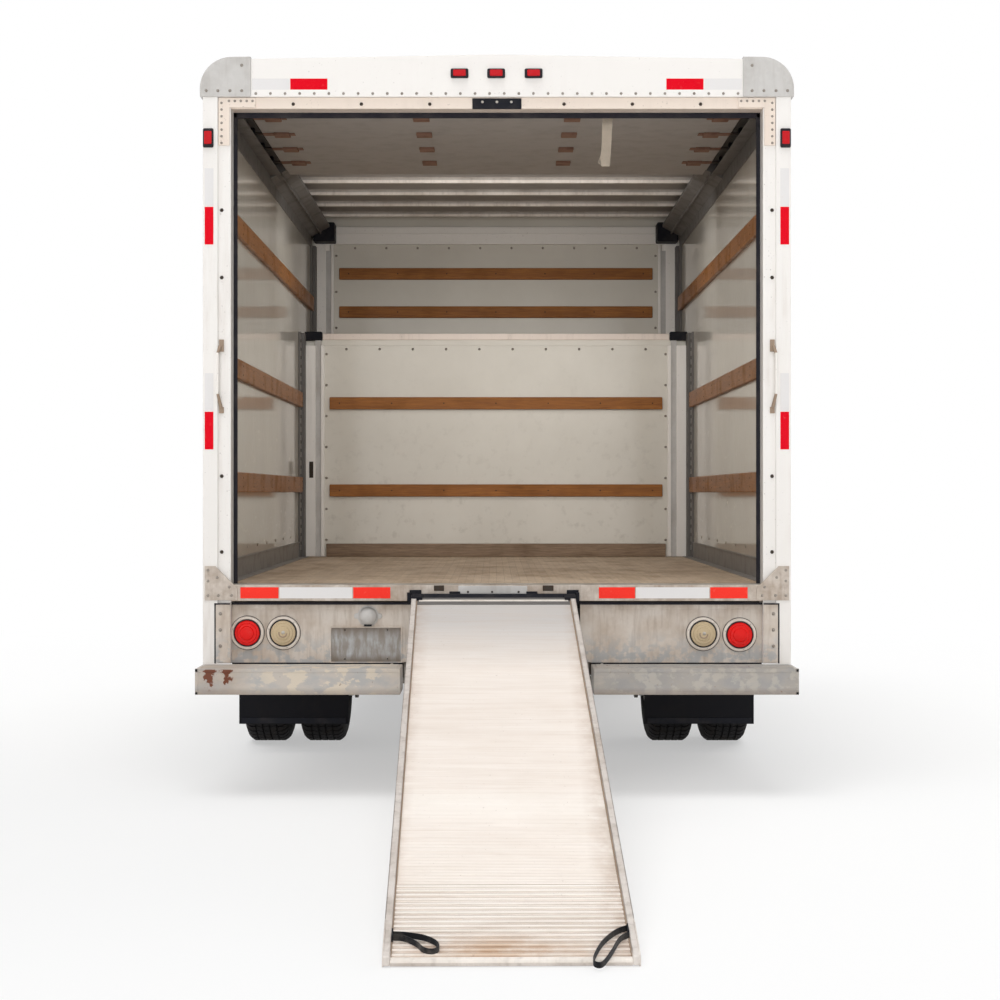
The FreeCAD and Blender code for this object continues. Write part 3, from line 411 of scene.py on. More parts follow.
def grown(name, tree, values, start=None):
    """Run a geometry tree and keep what it makes as a plain mesh."""
    def change(holder):
        modifier = holder.modifiers.new("Grow", "NODES")
        modifier.node_group = tree
        for item in tree.interface.items_tree:
            if item.item_type == "SOCKET" and item.in_out == "INPUT" and item.name in values:
                modifier[item.identifier] = values[item.name]
    return plain_mesh(name, start or bpy.data.meshes.new(name), change)


def heads_tree():
    """Domed heads on points, each turned to face its own way out."""
    tree, given = new_tree("Heads", (("Radius", "Float"), ("Height", "Float"), ("Sides", "Int"),
                                     ("Finish", "Material")))
    ball = add_node(tree, "GeometryNodeMeshUVSphere", {"Segments": given["Sides"], "Rings": 6,
                                                       "Radius": 1.0})
    size = add_node(tree, "ShaderNodeCombineXYZ", {"X": given["Radius"], "Y": given["Radius"],
                                                   "Z": given["Height"]})
    head = add_node(tree, "GeometryNodeTransform", {"Geometry": ball.outputs["Mesh"],
                                                    "Scale": size.outputs[0]})
    way = add_node(tree, "GeometryNodeInputNamedAttribute", {"Name": "out"},
                   data_type="FLOAT_VECTOR")
    turn = add_node(tree, "FunctionNodeAlignRotationToVector", {"Vector": way.outputs["Attribute"]},
                    axis="Z")
    placed = add_node(tree, "GeometryNodeInstanceOnPoints", {"Points": given["Geometry"],
                                                             "Instance": head.outputs["Geometry"],
                                                             "Rotation": turn.outputs["Rotation"]})
    return end_tree(tree, placed.outputs["Instances"], given["Finish"])


def bars_tree():
    """Equal bars in a row."""
    tree, given = new_tree("Bars", (("Count", "Int"), ("Start", "Vector"), ("Step", "Vector"),
                                    ("Size", "Vector"), ("Finish", "Material")))
    line = add_node(tree, "GeometryNodeMeshLine",
                    {"Count": given["Count"], "Start Location": given["Start"],
                     "Offset": given["Step"]})
    bar = add_node(tree, "GeometryNodeMeshCube", {"Size": given["Size"]})
    placed = add_node(tree, "GeometryNodeInstanceOnPoints", {"Points": line.outputs["Mesh"],
                                                             "Instance": bar.outputs["Mesh"]})
    return end_tree(tree, placed.outputs["Instances"], given["Finish"])


def ring_tree():
    """Copies of a shape turned about the X axis through a centre."""
    tree, given = new_tree("Ring", (("Count", "Int"), ("Centre", "Vector"), ("Phase", "Float"),
                                    ("Finish", "Material")))
    line = add_node(tree, "GeometryNodeMeshLine", {"Count": given["Count"], "Offset": (0, 0, 0)})
    index = add_node(tree, "GeometryNodeInputIndex")
    share = add_node(tree, "ShaderNodeMath", {0: index.outputs[0], 1: given["Count"]},
                     operation="DIVIDE")
    angle = add_node(tree, "ShaderNodeMath", {0: share.outputs[0], 1: 2 * math.pi,
                                              2: given["Phase"]}, operation="MULTIPLY_ADD")
    turn = add_node(tree, "ShaderNodeCombineXYZ", {"X": angle.outputs[0]})
    placed = add_node(tree, "GeometryNodeInstanceOnPoints", {"Points": line.outputs["Mesh"],
                                                             "Instance": given["Geometry"],
                                                             "Rotation": turn.outputs[0]})
    moved = add_node(tree, "GeometryNodeTransform", {"Geometry": placed.outputs["Instances"],
                                                     "Translation": given["Centre"]})
    return end_tree(tree, moved.outputs["Geometry"], given["Finish"])


def coil_tree():
    """Round wire wound into a spring."""
    tree, given = new_tree("Coil", (("Turns", "Float"), ("Radius", "Float"), ("Height", "Float"),
                                    ("Wire", "Float"), ("Centre", "Vector"),
                                    ("Finish", "Material")))
    spiral = add_node(tree, "GeometryNodeCurveSpiral",
                      {"Resolution": 28, "Rotations": given["Turns"],
                       "Start Radius": given["Radius"], "End Radius": given["Radius"],
                       "Height": given["Height"]})
    ring = add_node(tree, "GeometryNodeCurvePrimitiveCircle",
                    {"Resolution": 14, "Radius": given["Wire"]})
    wire = add_node(tree, "GeometryNodeCurveToMesh", {"Curve": spiral.outputs[0],
                                                      "Profile Curve": ring.outputs[0],
                                                      "Fill Caps": True})
    moved = add_node(tree, "GeometryNodeTransform", {"Geometry": wire.outputs[0],
                                                     "Translation": given["Centre"]})
    return end_tree(tree, moved.outputs["Geometry"], given["Finish"])


def heads(name, places, finish="zinc", radius=None, height=None, sides=10, body="truck"):
    """Rivet or bolt heads at (place, way out) pairs."""
    sizes = bpy.context.scene.truck_sizes
    radius = radius or sizes.rivet
    points = bpy.data.meshes.new(name)
    points.from_pydata([tuple(place) for place, _ in places], [], [])
    ways = points.attributes.new("out", "FLOAT_VECTOR", "POINT")
    ways.data.foreach_set("vector", [value for _, way in places for value in way])
    made = grown(name, TREES["heads"], {"Radius": radius, "Height": height or radius * 0.5,
                                        "Sides": sides, "Finish": FINISHES[finish]}, points)
    return keep(name, made, finish, body, sharp=60 if sides > 6 else 30)


def bar_mesh(name, count, start, step, size, finish):
    """A row of equal bars, the first one's middle at start."""
    return grown(name, TREES["bars"], {"Count": count, "Start": tuple(start), "Step": step,
                                       "Size": size, "Finish": FINISHES[finish]})


def bars(name, count, start, step, size, finish, edge=0.0):
    return keep(name, bar_mesh(name, count, start, step, size, finish), finish, edge=edge)


def round_way(turn):
    """A way out in an upright plane across the truck, at a turn in degrees from the right."""
    angle = math.radians(turn)
    return Vector((math.cos(angle), 0, math.sin(angle)))


def row(start, end, pitch):
    """Even places from start to end, about one pitch apart."""
    start, end = Vector(start), Vector(end)
    count = max(1, round((end - start).length / pitch))
    return [start.lerp(end, step / count) for step in range(count + 1)]


def studs(start, end, pitch, out):
    """(Place, way out) pairs for heads in an even row."""
    return [(place, Vector(out)) for place in row(start, end, pitch)]
# ---- materials ----
class Finish:
    """A material under way: its nodes, its Object coordinates and the colour laid on it so far."""

    def __init__(self, name, base, roughness, metallic=0.0, shine=0.5):
        self.material = bpy.data.materials.new(name)
        self.material.use_nodes = True
        self.tree = self.material.node_tree
        self.shader = self.tree.nodes["Principled BSDF"]
        self.material.diffuse_color = self.colour = shade(base)
        self.put({"Base Color": self.colour, "Roughness": roughness, "Metallic": metallic,
                  "Specular IOR Level": shine})
        self.place = self.node("ShaderNodeTexCoord").outputs["Object"]

    def put(self, values):
        for name, value in values.items():
            self.shader.inputs[name].default_value = value

    def node(self, kind, inputs=None, **settings):
        return add_node(self.tree, kind, inputs, **settings)

    def math(self, operation, *values, **settings):
        return self.node("ShaderNodeMath", dict(enumerate(values)), operation=operation,
                         **settings).outputs[0]

    def times(self, first, second):
        return self.math("MULTIPLY", first, second)

    def between(self, value, start, end, low=0.0, high=1.0):
        """Low where the value is below start, and high above end."""
        return self.node("ShaderNodeMapRange", {"Value": value, "From Min": start, "From Max": end,
                                                "To Min": low, "To Max": high}).outputs[0]

    def stretched(self, scale, shift=(0, 0, 0), turn=(0, 0, 0), place=None):
        return self.node("ShaderNodeMapping", {"Vector": place or self.place, "Scale": scale,
                                               "Rotation": turn, "Location": shift}).outputs[0]

    def axis(self, name, place=None):
        return self.node("ShaderNodeSeparateXYZ", {0: place or self.place}).outputs[name]

    def distance(self, place, spot):
        return self.node("ShaderNodeVectorMath", {0: place, 1: spot},
                         operation="DISTANCE").outputs["Value"]

    def noise(self, size, detail, **more):
        return self.node("ShaderNodeTexNoise", {"Vector": self.place, "Scale": 1 / size,
                                                "Detail": detail, **more}).outputs["Fac"]

    def patches(self, size, start, end, detail=6.0, scale=None, shift=(0, 0, 0), place=None,
                distortion=0.0):
        """Cloudy patches about size metres across: 0 where noise is below start, 1 above end."""
        if scale:
            place = self.stretched(scale, shift, place=place)
        noise = self.noise(size, detail, Vector=place or self.place, Roughness=0.6,
                           Distortion=distortion)
        return self.between(noise, start, end)

    def over(self, mask, colour, share=None):
        """Lay a colour over what is there where the mask is 1, or a share of it."""
        mask = mask if share is None else self.times(mask, share)
        self.colour = self.node("ShaderNodeMix", {0: mask, 6: self.colour, 7: shade(colour)},
                                data_type="RGBA").outputs[2]

    def rough(self, mask, smooth, rough):
        """Let the roughness follow a mask."""
        self.tree.links.new(self.between(mask, 0.0, 1.0, smooth, rough),
                            self.shader.inputs["Roughness"])

    def relief(self, height, depth):
        """Raise the surface by depth metres where height is 1."""
        bump = self.node("ShaderNodeBump", {"Height": height, "Distance": depth, "Strength": 1.0})
        self.tree.links.new(bump.outputs[0], self.shader.inputs["Normal"])

    def done(self):
        if isinstance(self.colour, bpy.types.NodeSocket):
            self.tree.links.new(self.colour, self.shader.inputs["Base Color"])
        return self.material


def enamel(name, base, film="#B3A08E", amount=0.5):
    """Baked enamel on sheet metal: even, half glossy, dulled by road film in upright streaks."""
    new = Finish(name, base, 0.35)
    height = new.axis("Z")
    streaks = new.times(new.patches(0.035, 0.5, 0.78, scale=(1, 1, 0.09)),
                        new.patches(0.45, 0.42, 0.75))
    grime = new.math("ADD", new.times(streaks, new.between(height, 3.0, 2.2, 0.12)),
                     new.times(new.between(height, 1.9, 0.5), 0.15), use_clamp=True)
    new.over(grime, film, amount)
    new.over(new.patches(0.009, 0.69, 0.74, 2.0), "#6E6258", 0.4)
    new.rough(grime, 0.3, 0.62)
    new.relief(new.noise(0.004, 1.0), 0.00003)
    new.put({"Coat Weight": 0.15})
    return new.done()


def liner(name, base):
    """Glass-fibre liner panels: a smooth resin skin that mirrors, scuffed at cargo height."""
    new = Finish(name, base, 0.1)
    worn = new.times(
        new.patches(0.05, 0.55, 0.8, scale=(1, 0.25, 1)), new.between(new.axis("Z"), 2.2, 0.9))
    new.over(new.patches(0.7, 0.35, 0.7), "#A69D8F", 0.22)
    new.over(worn, "#857A6C", 0.35)
    new.over(new.patches(0.004, 0.7, 0.74, 3.0, (1, 0.04, 1)), "#6D645A", 0.25)
    new.rough(worn, 0.08, 0.4)
    new.relief(new.patches(0.05, 0.3, 0.7, 2.0), 0.0001)
    return new.done()


def galvanised(name, base, stain="#8D7B69", amount=0.6, metallic=0.55):
    """Hot-dip galvanised steel: dull grey with a faint spangle, browned by dust and run-off."""
    new = Finish(name, base, 0.45, metallic)
    cells = new.node("ShaderNodeTexVoronoi", {"Vector": new.place, "Scale": 1 / 0.018})
    spangle = new.node("ShaderNodeSeparateColor", {0: cells.outputs["Color"]}).outputs[0]
    clouds = new.patches(0.16, 0.42, 0.68)
    new.over(spangle, "#E4E2DE", 0.14)
    new.over(clouds, stain, amount)
    new.over(new.patches(0.03, 0.5, 0.75, scale=(1, 1, 0.12)), "#75634F", amount * 0.7)
    new.rough(clouds, 0.4, 0.7)
    new.relief(new.patches(0.05, 0.3, 0.7, 3.0), 0.0006)
    return new.done()


def panel_steel(name, base):
    """Galvanised tail panel: warm grey with brown run-off, worn to blue-grey along its foot, and
    browned under the sill by dirt and painted shade.
    """
    new = Finish(name, base, 0.5, 0.15)
    height = new.axis("Z")
    clouds = new.patches(0.13, 0.42, 0.68)
    new.over(clouds, "#B29C86", 0.5)
    new.over(new.patches(0.022, 0.48, 0.72, scale=(1, 1, 0.12)), "#8F7863", 0.42)
    worn = new.times(new.patches(0.05, 0.46, 0.54, 5.0, (1, 1, 1.2), (2, 0, 1)),
                     new.between(height, 0.66, 0.56))
    new.over(worn, "#A7AAAC", 0.7)
    # Brown patches along the top, under the sill: dirt and painted shade.
    sill_dirt_and_shade = new.times(new.between(height, 0.73, 0.775), new.patches(0.04, 0.3, 0.6))
    new.over(sill_dirt_and_shade, "#8A7460", 0.45)
    new.rough(clouds, 0.42, 0.68)
    new.relief(new.patches(0.05, 0.3, 0.7, 3.0), 0.0004)
    return new.done()


def recess_steel(name, base):
    """Plate recess: zinc washed blue-grey in upright runs, darker along its top with painted shade
    and along its foot with dirt.
    """
    new = Finish(name, base, 0.5, 0.15)
    new.colour = shade("#98938D")
    height = new.axis("Z")
    clouds = new.patches(0.06, 0.4, 0.65)
    new.over(new.patches(0.022, 0.42, 0.6, 4.0, (1, 1, 0.25)), "#BEC1C3", 0.8)
    new.over(clouds, "#8A7A6A", 0.35)
    # Darker along the top, painted shade under the panel's edge, and along the foot, dirt.
    ends = new.math("MAXIMUM", new.between(height, 0.625, 0.668), new.between(height, 0.565, 0.54))
    new.over(ends, "#776A5D", 0.75)
    new.rough(clouds, 0.42, 0.68)
    return new.done()


def bumper_steel(name, base):
    """Galvanised step bumper: blue-grey with flaking cream paint, and rust from a corner."""
    new = Finish(name, base, 0.5, 0.15)
    new.colour = shade("#BFB6AC")
    corner = low("rear_bumper")
    across, height = new.axis("X"), new.axis("Z")
    middle = new.times(new.between(across, corner.x + 0.2, corner.x + 0.32),
                       new.between(across, -0.42, -0.5))
    patches = new.patches(0.05, 0.5, 0.54, 4.0, (0.7, 1, 1))
    new.over(new.patches(0.09, 0.45, 0.6, 4.0, (0.6, 1, 1), (3, 1, 2)), "#A2A4A6", 0.6)
    cream = new.times(patches, new.between(middle, 0.0, 1.0, 0.25))
    new.over(cream, "#D9CCB8", 0.75)
    right = new.between(across, 0.3, 0.5)
    new.over(right, "#8B8885", 0.55)
    scraped = new.patches(0.04, 0.5, 0.57, 4.0, (0.8, 1, 1), (7, 2, 3))
    new.over(new.times(right, scraped), "#BFB7AB", 0.5)
    lean = 0.36     # rust is drawn where height counts less than width, so it runs down
    flat = new.stretched((1, 0, lean))
    near, far = (new.distance(flat, Vector((corner.x + aside, 0, (corner.z + down) * lean)))
                 for aside, down in ((0.056, 0.105), (0.128, 0.12)))
    fraying = new.math("MULTIPLY_ADD", new.patches(0.02, 0.4, 0.6), 0.018, -0.008)
    frayed = new.math("ADD", new.math("MINIMUM", near, far), fraying)
    new.over(new.times(new.between(frayed, 0.1, 0.03), 0.35), "#A08A76")
    rusted = new.times(new.between(frayed, 0.026, 0.022),
                       new.between(height, corner.z + 0.104, corner.z + 0.1))
    new.over(rusted, "#6B3A25")
    new.over(new.between(height, corner.z + 0.03, corner.z + 0.005), "#7E6F62", 0.5)
    new.over(new.patches(0.02, 0.68, 0.73, 4.0), "#7A5A44", 0.6)
    new.rough(patches, 0.42, 0.65)
    new.relief(new.patches(0.07, 0.3, 0.7, 3.0), 0.001)
    return new.done()


def ramp_aluminium(name, base):
    """Aluminium planks whitened by dust: tan bands, grime by the rails, stains near the foot, and a
    painted blue-grey sheen at the top.
    """
    new = Finish(name, base, 0.55, 0.0, 0.3)
    along = new.stretched((1, 1, 1), turn=(-RAMP_TILT, 0, 0))
    way = new.axis("Y", along)
    foot = low("ramp").y
    bands = new.patches(0.028, 0.42, 0.72, scale=(0.05, 1, 1), place=along)
    # Painted sheen: the deck turns blue-grey towards its top, over its last 0.7 m.
    new.over(new.between(way, REAR - 0.7, REAR - 0.1), "#D3CFCC")
    new.over(new.patches(0.009, 0.45, 0.7, 3.0, (0.03, 1, 1), (5, 2, 1), along), "#CDBCAA", 0.2)
    new.over(bands, "#D2C0AE", 0.15)
    # A paler band across the deck, from 1.0 to 1.32 m up from the foot.
    pale_band = new.times(
        new.between(way, foot + 1.0, foot + 1.15), new.between(way, foot + 1.32, foot + 1.24))
    new.over(pale_band, "#FFFAF3", 0.5)
    new.over(new.patches(0.3, 0.45, 0.75), "#DFCFBF", 0.2)
    aside = new.math("ABSOLUTE", new.axis("X", along))
    new.over(new.times(new.between(aside, 0.26, 0.33), new.patches(0.05, 0.3, 0.6)), "#B79D87",
             0.42)
    wide = (0.3, 1, 1)       # the orange spot is this much wider than it is long
    reach = new.distance(new.stretched(wide), Vector((0.02, foot + 0.06, 0.02)) * Vector(wide))
    new.over(new.times(new.between(reach, 0.11, 0.02), new.patches(0.09, 0.3, 0.6)), "#C79A6C",
             0.65)
    low_end = new.times(new.between(way, foot + 0.5, foot + 0.1),
                        new.patches(0.03, 0.42, 0.62, scale=(0.2, 1, 1), place=along))
    new.over(low_end, "#B59C86", 0.4)
    new.over(new.patches(0.01, 0.69, 0.74, 3.0), "#86705C", 0.4)
    new.rough(bands, 0.45, 0.65)
    new.relief(new.patches(0.004, 0.3, 0.7, 2.0), 0.0001)
    return new.done()


def wood(name, base, dark, grain):
    """Stained hardwood with its grain along the slat, rubbed paler and scuffed dark by cargo."""
    new = Finish(name, base, 0.55)
    fibres = new.stretched(grain)
    lines = new.patches(0.006, 0.3, 0.72, 8.0, place=fibres, distortion=0.6)
    rubbed = new.patches(0.22, 0.5, 0.75)
    new.over(lines, dark, 0.75)
    new.over(new.patches(0.035, 0.35, 0.65, 3.0, place=fibres), dark, 0.35)
    new.over(rubbed, "#4E3826", 0.35)
    new.rough(rubbed, 0.42, 0.7)
    new.relief(lines, 0.0005)
    return new.done()


def floor_boards(name, base):
    """Laminated hardwood floor: strips as wide as a thumb, dried out, scuffed and dusty."""
    new = Finish(name, base, 0.62)
    strips = new.node("ShaderNodeTexBrick",
                      {"Vector": new.stretched((1, 1, 1), turn=(0, 0, math.radians(90))),
                       "Scale": 1.0, "Bias": 0.0, "Color1": shade("#C9B399"),
                       "Color2": shade("#BDA68D"), "Mortar": shade("#A48F78"), "Mortar Size": 0.001,
                       "Brick Width": 2.4, "Row Height": 0.034})
    scuffs = new.patches(0.16, 0.46, 0.66, scale=(1, 0.45, 1))
    new.colour = strips.outputs["Color"]
    new.over(new.patches(0.006, 0.35, 0.75, scale=(1, 0.05, 1)), "#8A7460", 0.4)
    new.over(scuffs, "#86715C", 0.45)
    new.over(new.patches(0.05, 0.5, 0.7, scale=(1, 0.2, 1), shift=(4, 0, 0)), "#6F5C49", 0.3)
    new.over(new.patches(0.5, 0.4, 0.65), "#CDBBA5", 0.3)
    new.rough(scuffs, 0.5, 0.75)
    new.relief(strips.outputs["Fac"], -0.0008)
    return new.done()


def moulded(name, base, roughness, grain=0.0015, depth=0.00008, dust="#8A8178", amount=0.12):
    """Moulded plastic or rubber: one colour through, a fine even grain, a little dust."""
    new = Finish(name, base, roughness, shine=0.15)
    film = new.patches(0.09, 0.48, 0.8)
    new.over(film, dust, amount)
    new.rough(film, roughness, min(1.0, roughness + 0.2))
    new.relief(new.noise(grain, 2.0), depth)
    return new.done()


def metal(name, base, roughness, spots="#6A5444", amount=0.3, grain=0.02):
    """Bare or plated metal: bright where rubbed, spotted where it has begun to turn."""
    new = Finish(name, base, roughness, 0.9)
    turned = new.patches(grain, 0.52, 0.72)
    new.over(turned, spots, amount)
    new.rough(turned, roughness, min(1.0, roughness + 0.3))
    new.relief(new.noise(0.003, 3.0), 0.00005)
    return new.done()


def lens(name, base, reflector):
    """Moulded acrylic: deep colour, glossy face, small square prisms with a painted glint of the
    reflector behind them.
    """
    new = Finish(name, base, 0.15, shine=0.2)
    prisms = new.node("ShaderNodeTexVoronoi", {"Vector": new.place, "Scale": 1 / 0.007,
                                               "Randomness": 0.0},
                      distance="CHEBYCHEV").outputs["Distance"]
    # Painted glint: the prisms' cells are lightened towards the reflector colour.
    new.over(new.between(prisms, 0.1, 0.55), reflector, 0.22)
    new.relief(prisms, 0.0008)
    new.put({"Coat Weight": 0.12, "Coat Roughness": 0.04})
    return new.done()


def tape(name, base, bright):
    """Prismatic reflecting tape: bright film over a fine honeycomb, drawn coarser than it is."""
    new = Finish(name, base, 0.4, shine=0.06)
    comb = new.node("ShaderNodeTexVoronoi", {"Vector": new.place, "Scale": 1 / 0.005},
                    feature="DISTANCE_TO_EDGE")
    worn = new.patches(0.03, 0.62, 0.75)
    new.over(new.between(comb.outputs["Distance"], 0.12, 0.02), bright, 0.1)
    new.over(worn, "#C9A79D", 0.12)
    new.rough(worn, 0.25, 0.6)
    return new.done()


def window_glass(name, base):
    """Tinted float glass: clear, with a faint green-grey body."""
    new = Finish(name, base, 0.02)
    new.put({"Transmission Weight": 1.0, "IOR": 1.5})
    new.rough(new.patches(0.3, 0.5, 0.8), 0.0, 0.06)
    return new.done()


def woven(name, base, dark, thread):
    """Woven cloth or webbing: crossing threads of two close tones, soft sheen, no gloss."""
    new = Finish(name, base, 0.85, shine=0.15)
    fine = new.stretched((1 / thread,) * 3)
    cross = new.times(*(new.node("ShaderNodeTexWave", {"Vector": fine, "Scale": WAVE},
                                 bands_direction=way).outputs["Fac"] for way in ("X", "Z")))
    new.colour = shade(dark)
    new.over(cross, base)
    new.over(new.patches(0.05, 0.45, 0.7), "#8F867C", 0.3)
    new.relief(cross, thread * 0.25)
    new.put({"Sheen Weight": 0.15})
    return new.done()


# Each finish: the record's slot, its maker, its name, its colour or fleet colour, and the rest.
RECIPES = {
    "enamel": ("white_paint", enamel, "White enamel", "body"),
    "cab_enamel": ("white_paint", enamel, "Cab enamel", "body", "#B3A08E", 0.3),
    "strip": ("white_paint", enamel, "Dusty enamel", "#EADBCD", "#8D7A69", 0.7),
    "liner": ("cream_panel", liner, "Glass-fibre liner", "liner"),
    "post": ("white_paint", enamel, "Post enamel", "#F2EDE6", "#7F7468", 0.3),
    "ledge": ("galvanised", enamel, "Ledge aluminium", "#E6D8CC", "#8F7D6E", 0.6),
    "cap": ("grey_cap", galvanised, "Cast corner cap", "#C6C3BF", "#A39C95", 0.3, 0.1),
    "rust_plate": ("cast_steel", moulded, "Rusted hinge plate", "#8A6A5A", 0.7, 0.004, 0.0001,
                   "#4E3226", 0.8),
    "panel": ("galvanised", panel_steel, "Tail panel", "#D3C9BE"),
    "recess": ("galvanised", recess_steel, "Stained recess", "#A7A6A3"),
    # This finish is ground-in dirt on the grab handles' lugs and the bulb holders, and painted
    # shade in the ramp's foot grooves and along its rails' inner feet.
    "grime": ("ramp_aluminium", moulded, "Ground-in dirt", "#A08C7A", 0.9),
    "lamp_rim": ("galvanised", galvanised, "Lamp rim", "#EADFD2", "#A39382", 0.3, 0.0),
    # This finish is a painted highlight: a lighter copy of the metal, laid on the bows' lower edges
    # and the ramp's foot and top line.
    "lip": ("galvanised", galvanised, "Bright folded edge", "#F3EAE0", "#B5A697", 0.4, 0.0),
    "galvanised": ("galvanised", galvanised, "Galvanised steel", "#B7B0A6"),
    "scuff": ("galvanised", moulded, "Scuffed steel", "#8B8681", 0.5, 0.004, 0.0001, "#66605A",
              0.4),
    "cove": ("galvanised", moulded, "Rolled rail", "#6E6B68", 0.5, 0.004, 0.0001, "#55514D", 0.4),
    "bows": ("galvanised", galvanised, "Roof bows", "#C2BAB2", "#8B8178", 0.4, 0.1),
    "roof": ("roof_skin", enamel, "Roof skin", "#E4E1DC", "#9A938A", 0.7),
    "ceiling": ("roof_skin", moulded, "Ceiling skin", "#98938E", 0.6, 0.01, 0.0001, "#78716A", 0.3),
    "door": ("cream_panel", moulded, "Door underside", "#A6A19D", 0.5, 0.01, 0.0001, "#7E7973",
             0.25),
    "bumper": ("bumper_steel", bumper_steel, "Bumper steel", "#BDB8B2"),
    "ramp": ("ramp_aluminium", ramp_aluminium, "Ramp aluminium", "ramp"),
    "rail": ("ramp_aluminium", galvanised, "Ramp rail", "#E3DAD2", "#9C8B7C", 0.5, 0.15),
    "slat_along": ("wood", wood, "Slat wood along", "slats", "#6A3D1A", (1, 0.06, 1)),
    "slat_across": ("wood", wood, "Slat wood across", "slats", "#6A3D1A", (0.06, 1, 1)),
    "kick": ("wood", wood, "Kick board", "#A48B73", "#5A4735", (0.06, 1, 1)),
    "floor": ("floor_wood", floor_boards, "Floor boards", "floor"),
    "black": ("black_steel", moulded, "Black powder coat", "#1B1C22", 0.5),
    "chassis": ("black_steel", moulded, "Chassis paint", "#2B2A29", 0.55, 0.004, 0.0002, "#8A7A68",
                0.4),
    "cast": ("cast_steel", metal, "Cast iron", "#57514B", 0.65, "#6B4630", 0.6, 0.03),
    "zinc": ("galvanised", metal, "Zinc plate", "#A29B92", 0.42, "#6E5A48", 0.5),
    "dark_bolt": ("black_steel", metal, "Blackened bolt", "#4A433D", 0.5, "#6B4A35", 0.5),
    "bright": ("galvanised", metal, "Bright fitting", "#C9C4BC", 0.3, "#8C7A66", 0.3),
    "chrome": ("chrome", metal, "Chrome plate", "#BFC1C3", 0.1, "#A8A49E", 0.15, 0.1),
    "wheel": ("wheel_steel", enamel, "Wheel enamel", "#D9D6D0", "#7A6656", 0.9),
    "rubber": ("rubber", moulded, "Weatherstrip rubber", "#26252B", 0.6),
    "flap": ("rubber", moulded, "Mud flap rubber", "#131317", 0.6, 0.006, 0.0002, "#6F655B", 0.05),
    "tyre": ("tyre", moulded, "Tyre rubber", "#191819", 0.75, 0.003, 0.0001, "#7D7267", 0.15),
    "plastic": ("black_plastic", moulded, "Black plastic", "#1E1F21", 0.5),
    "grey_plastic": ("black_plastic", moulded, "Grey cab plastic", "#55565A", 0.6),
    # In each lens the second colour is the painted glint in its prisms.
    "marker_lens": ("lamp", lens, "Marker lens", "#B90010", "#E8202A"),
    "faded_tape": ("lamp", tape, "Faded red tape", "#FA3A2E", "#FF6A5E"),
    "red_lens": ("lamp", lens, "Red lens", "#E00505", "#FF2A16"),
    "clear_lens": ("lamp", lens, "Clear lens", "#BFA986", "#EBDDBF"),
    "amber_lens": ("lamp", lens, "Amber lens", "#E07B12", "#FFB347"),
    "head_lens": ("headlamp", lens, "Lamp cover", "#C9CDD0", "#F2F4F5"),
    "red_tape": ("lamp", tape, "Red tape", "tape", "#FF5A50"),
    "white_tape": ("white_paint", tape, "White tape", "#E3E0DE", "#F2F2F2"),
    "glass": ("glass", window_glass, "Window glass", "#DCE6E2"),
    "mirror": ("glass", metal, "Mirror glass", "#E8EAEA", 0.02, "#D0D2D2", 0.1, 0.2),
    "cloth": ("seat_cloth", woven, "Woven upholstery", "#6C6E73", "#3E4044", 0.0025),
    "webbing": ("webbing", woven, "Black webbing", "#26272D", "#0E0F12", 0.002),
    "strap": ("webbing", woven, "Cream webbing", "#E6DACA", "#A99B89", 0.002),
}


def make_finishes():
    """Make every finish in the recipes, and the trees that repeat a shape."""
    for finish, (slot, maker, name, base, *rest) in RECIPES.items():
        if not base.startswith("#"):
            base = tuple(getattr(bpy.context.scene.truck_colours, base))
        FINISHES[finish] = maker(name, base, *rest)
        SLOTS[finish] = slot
    TREES.update({"heads": heads_tree(), "bars": bars_tree(), "ring": ring_tree(),
                  "coil": coil_tree()})


# ---- stage ----
def aimed(name, light, way, place=(0, 0, 0)):
    """Hang a light so that it shines a given way."""
    lamp = linked(name, light)
    lamp.location = place
    lamp.rotation_euler = Vector(way).to_track_quat("-Z", "Y").to_euler()
    lamp.visible_glossy = False
    return lamp


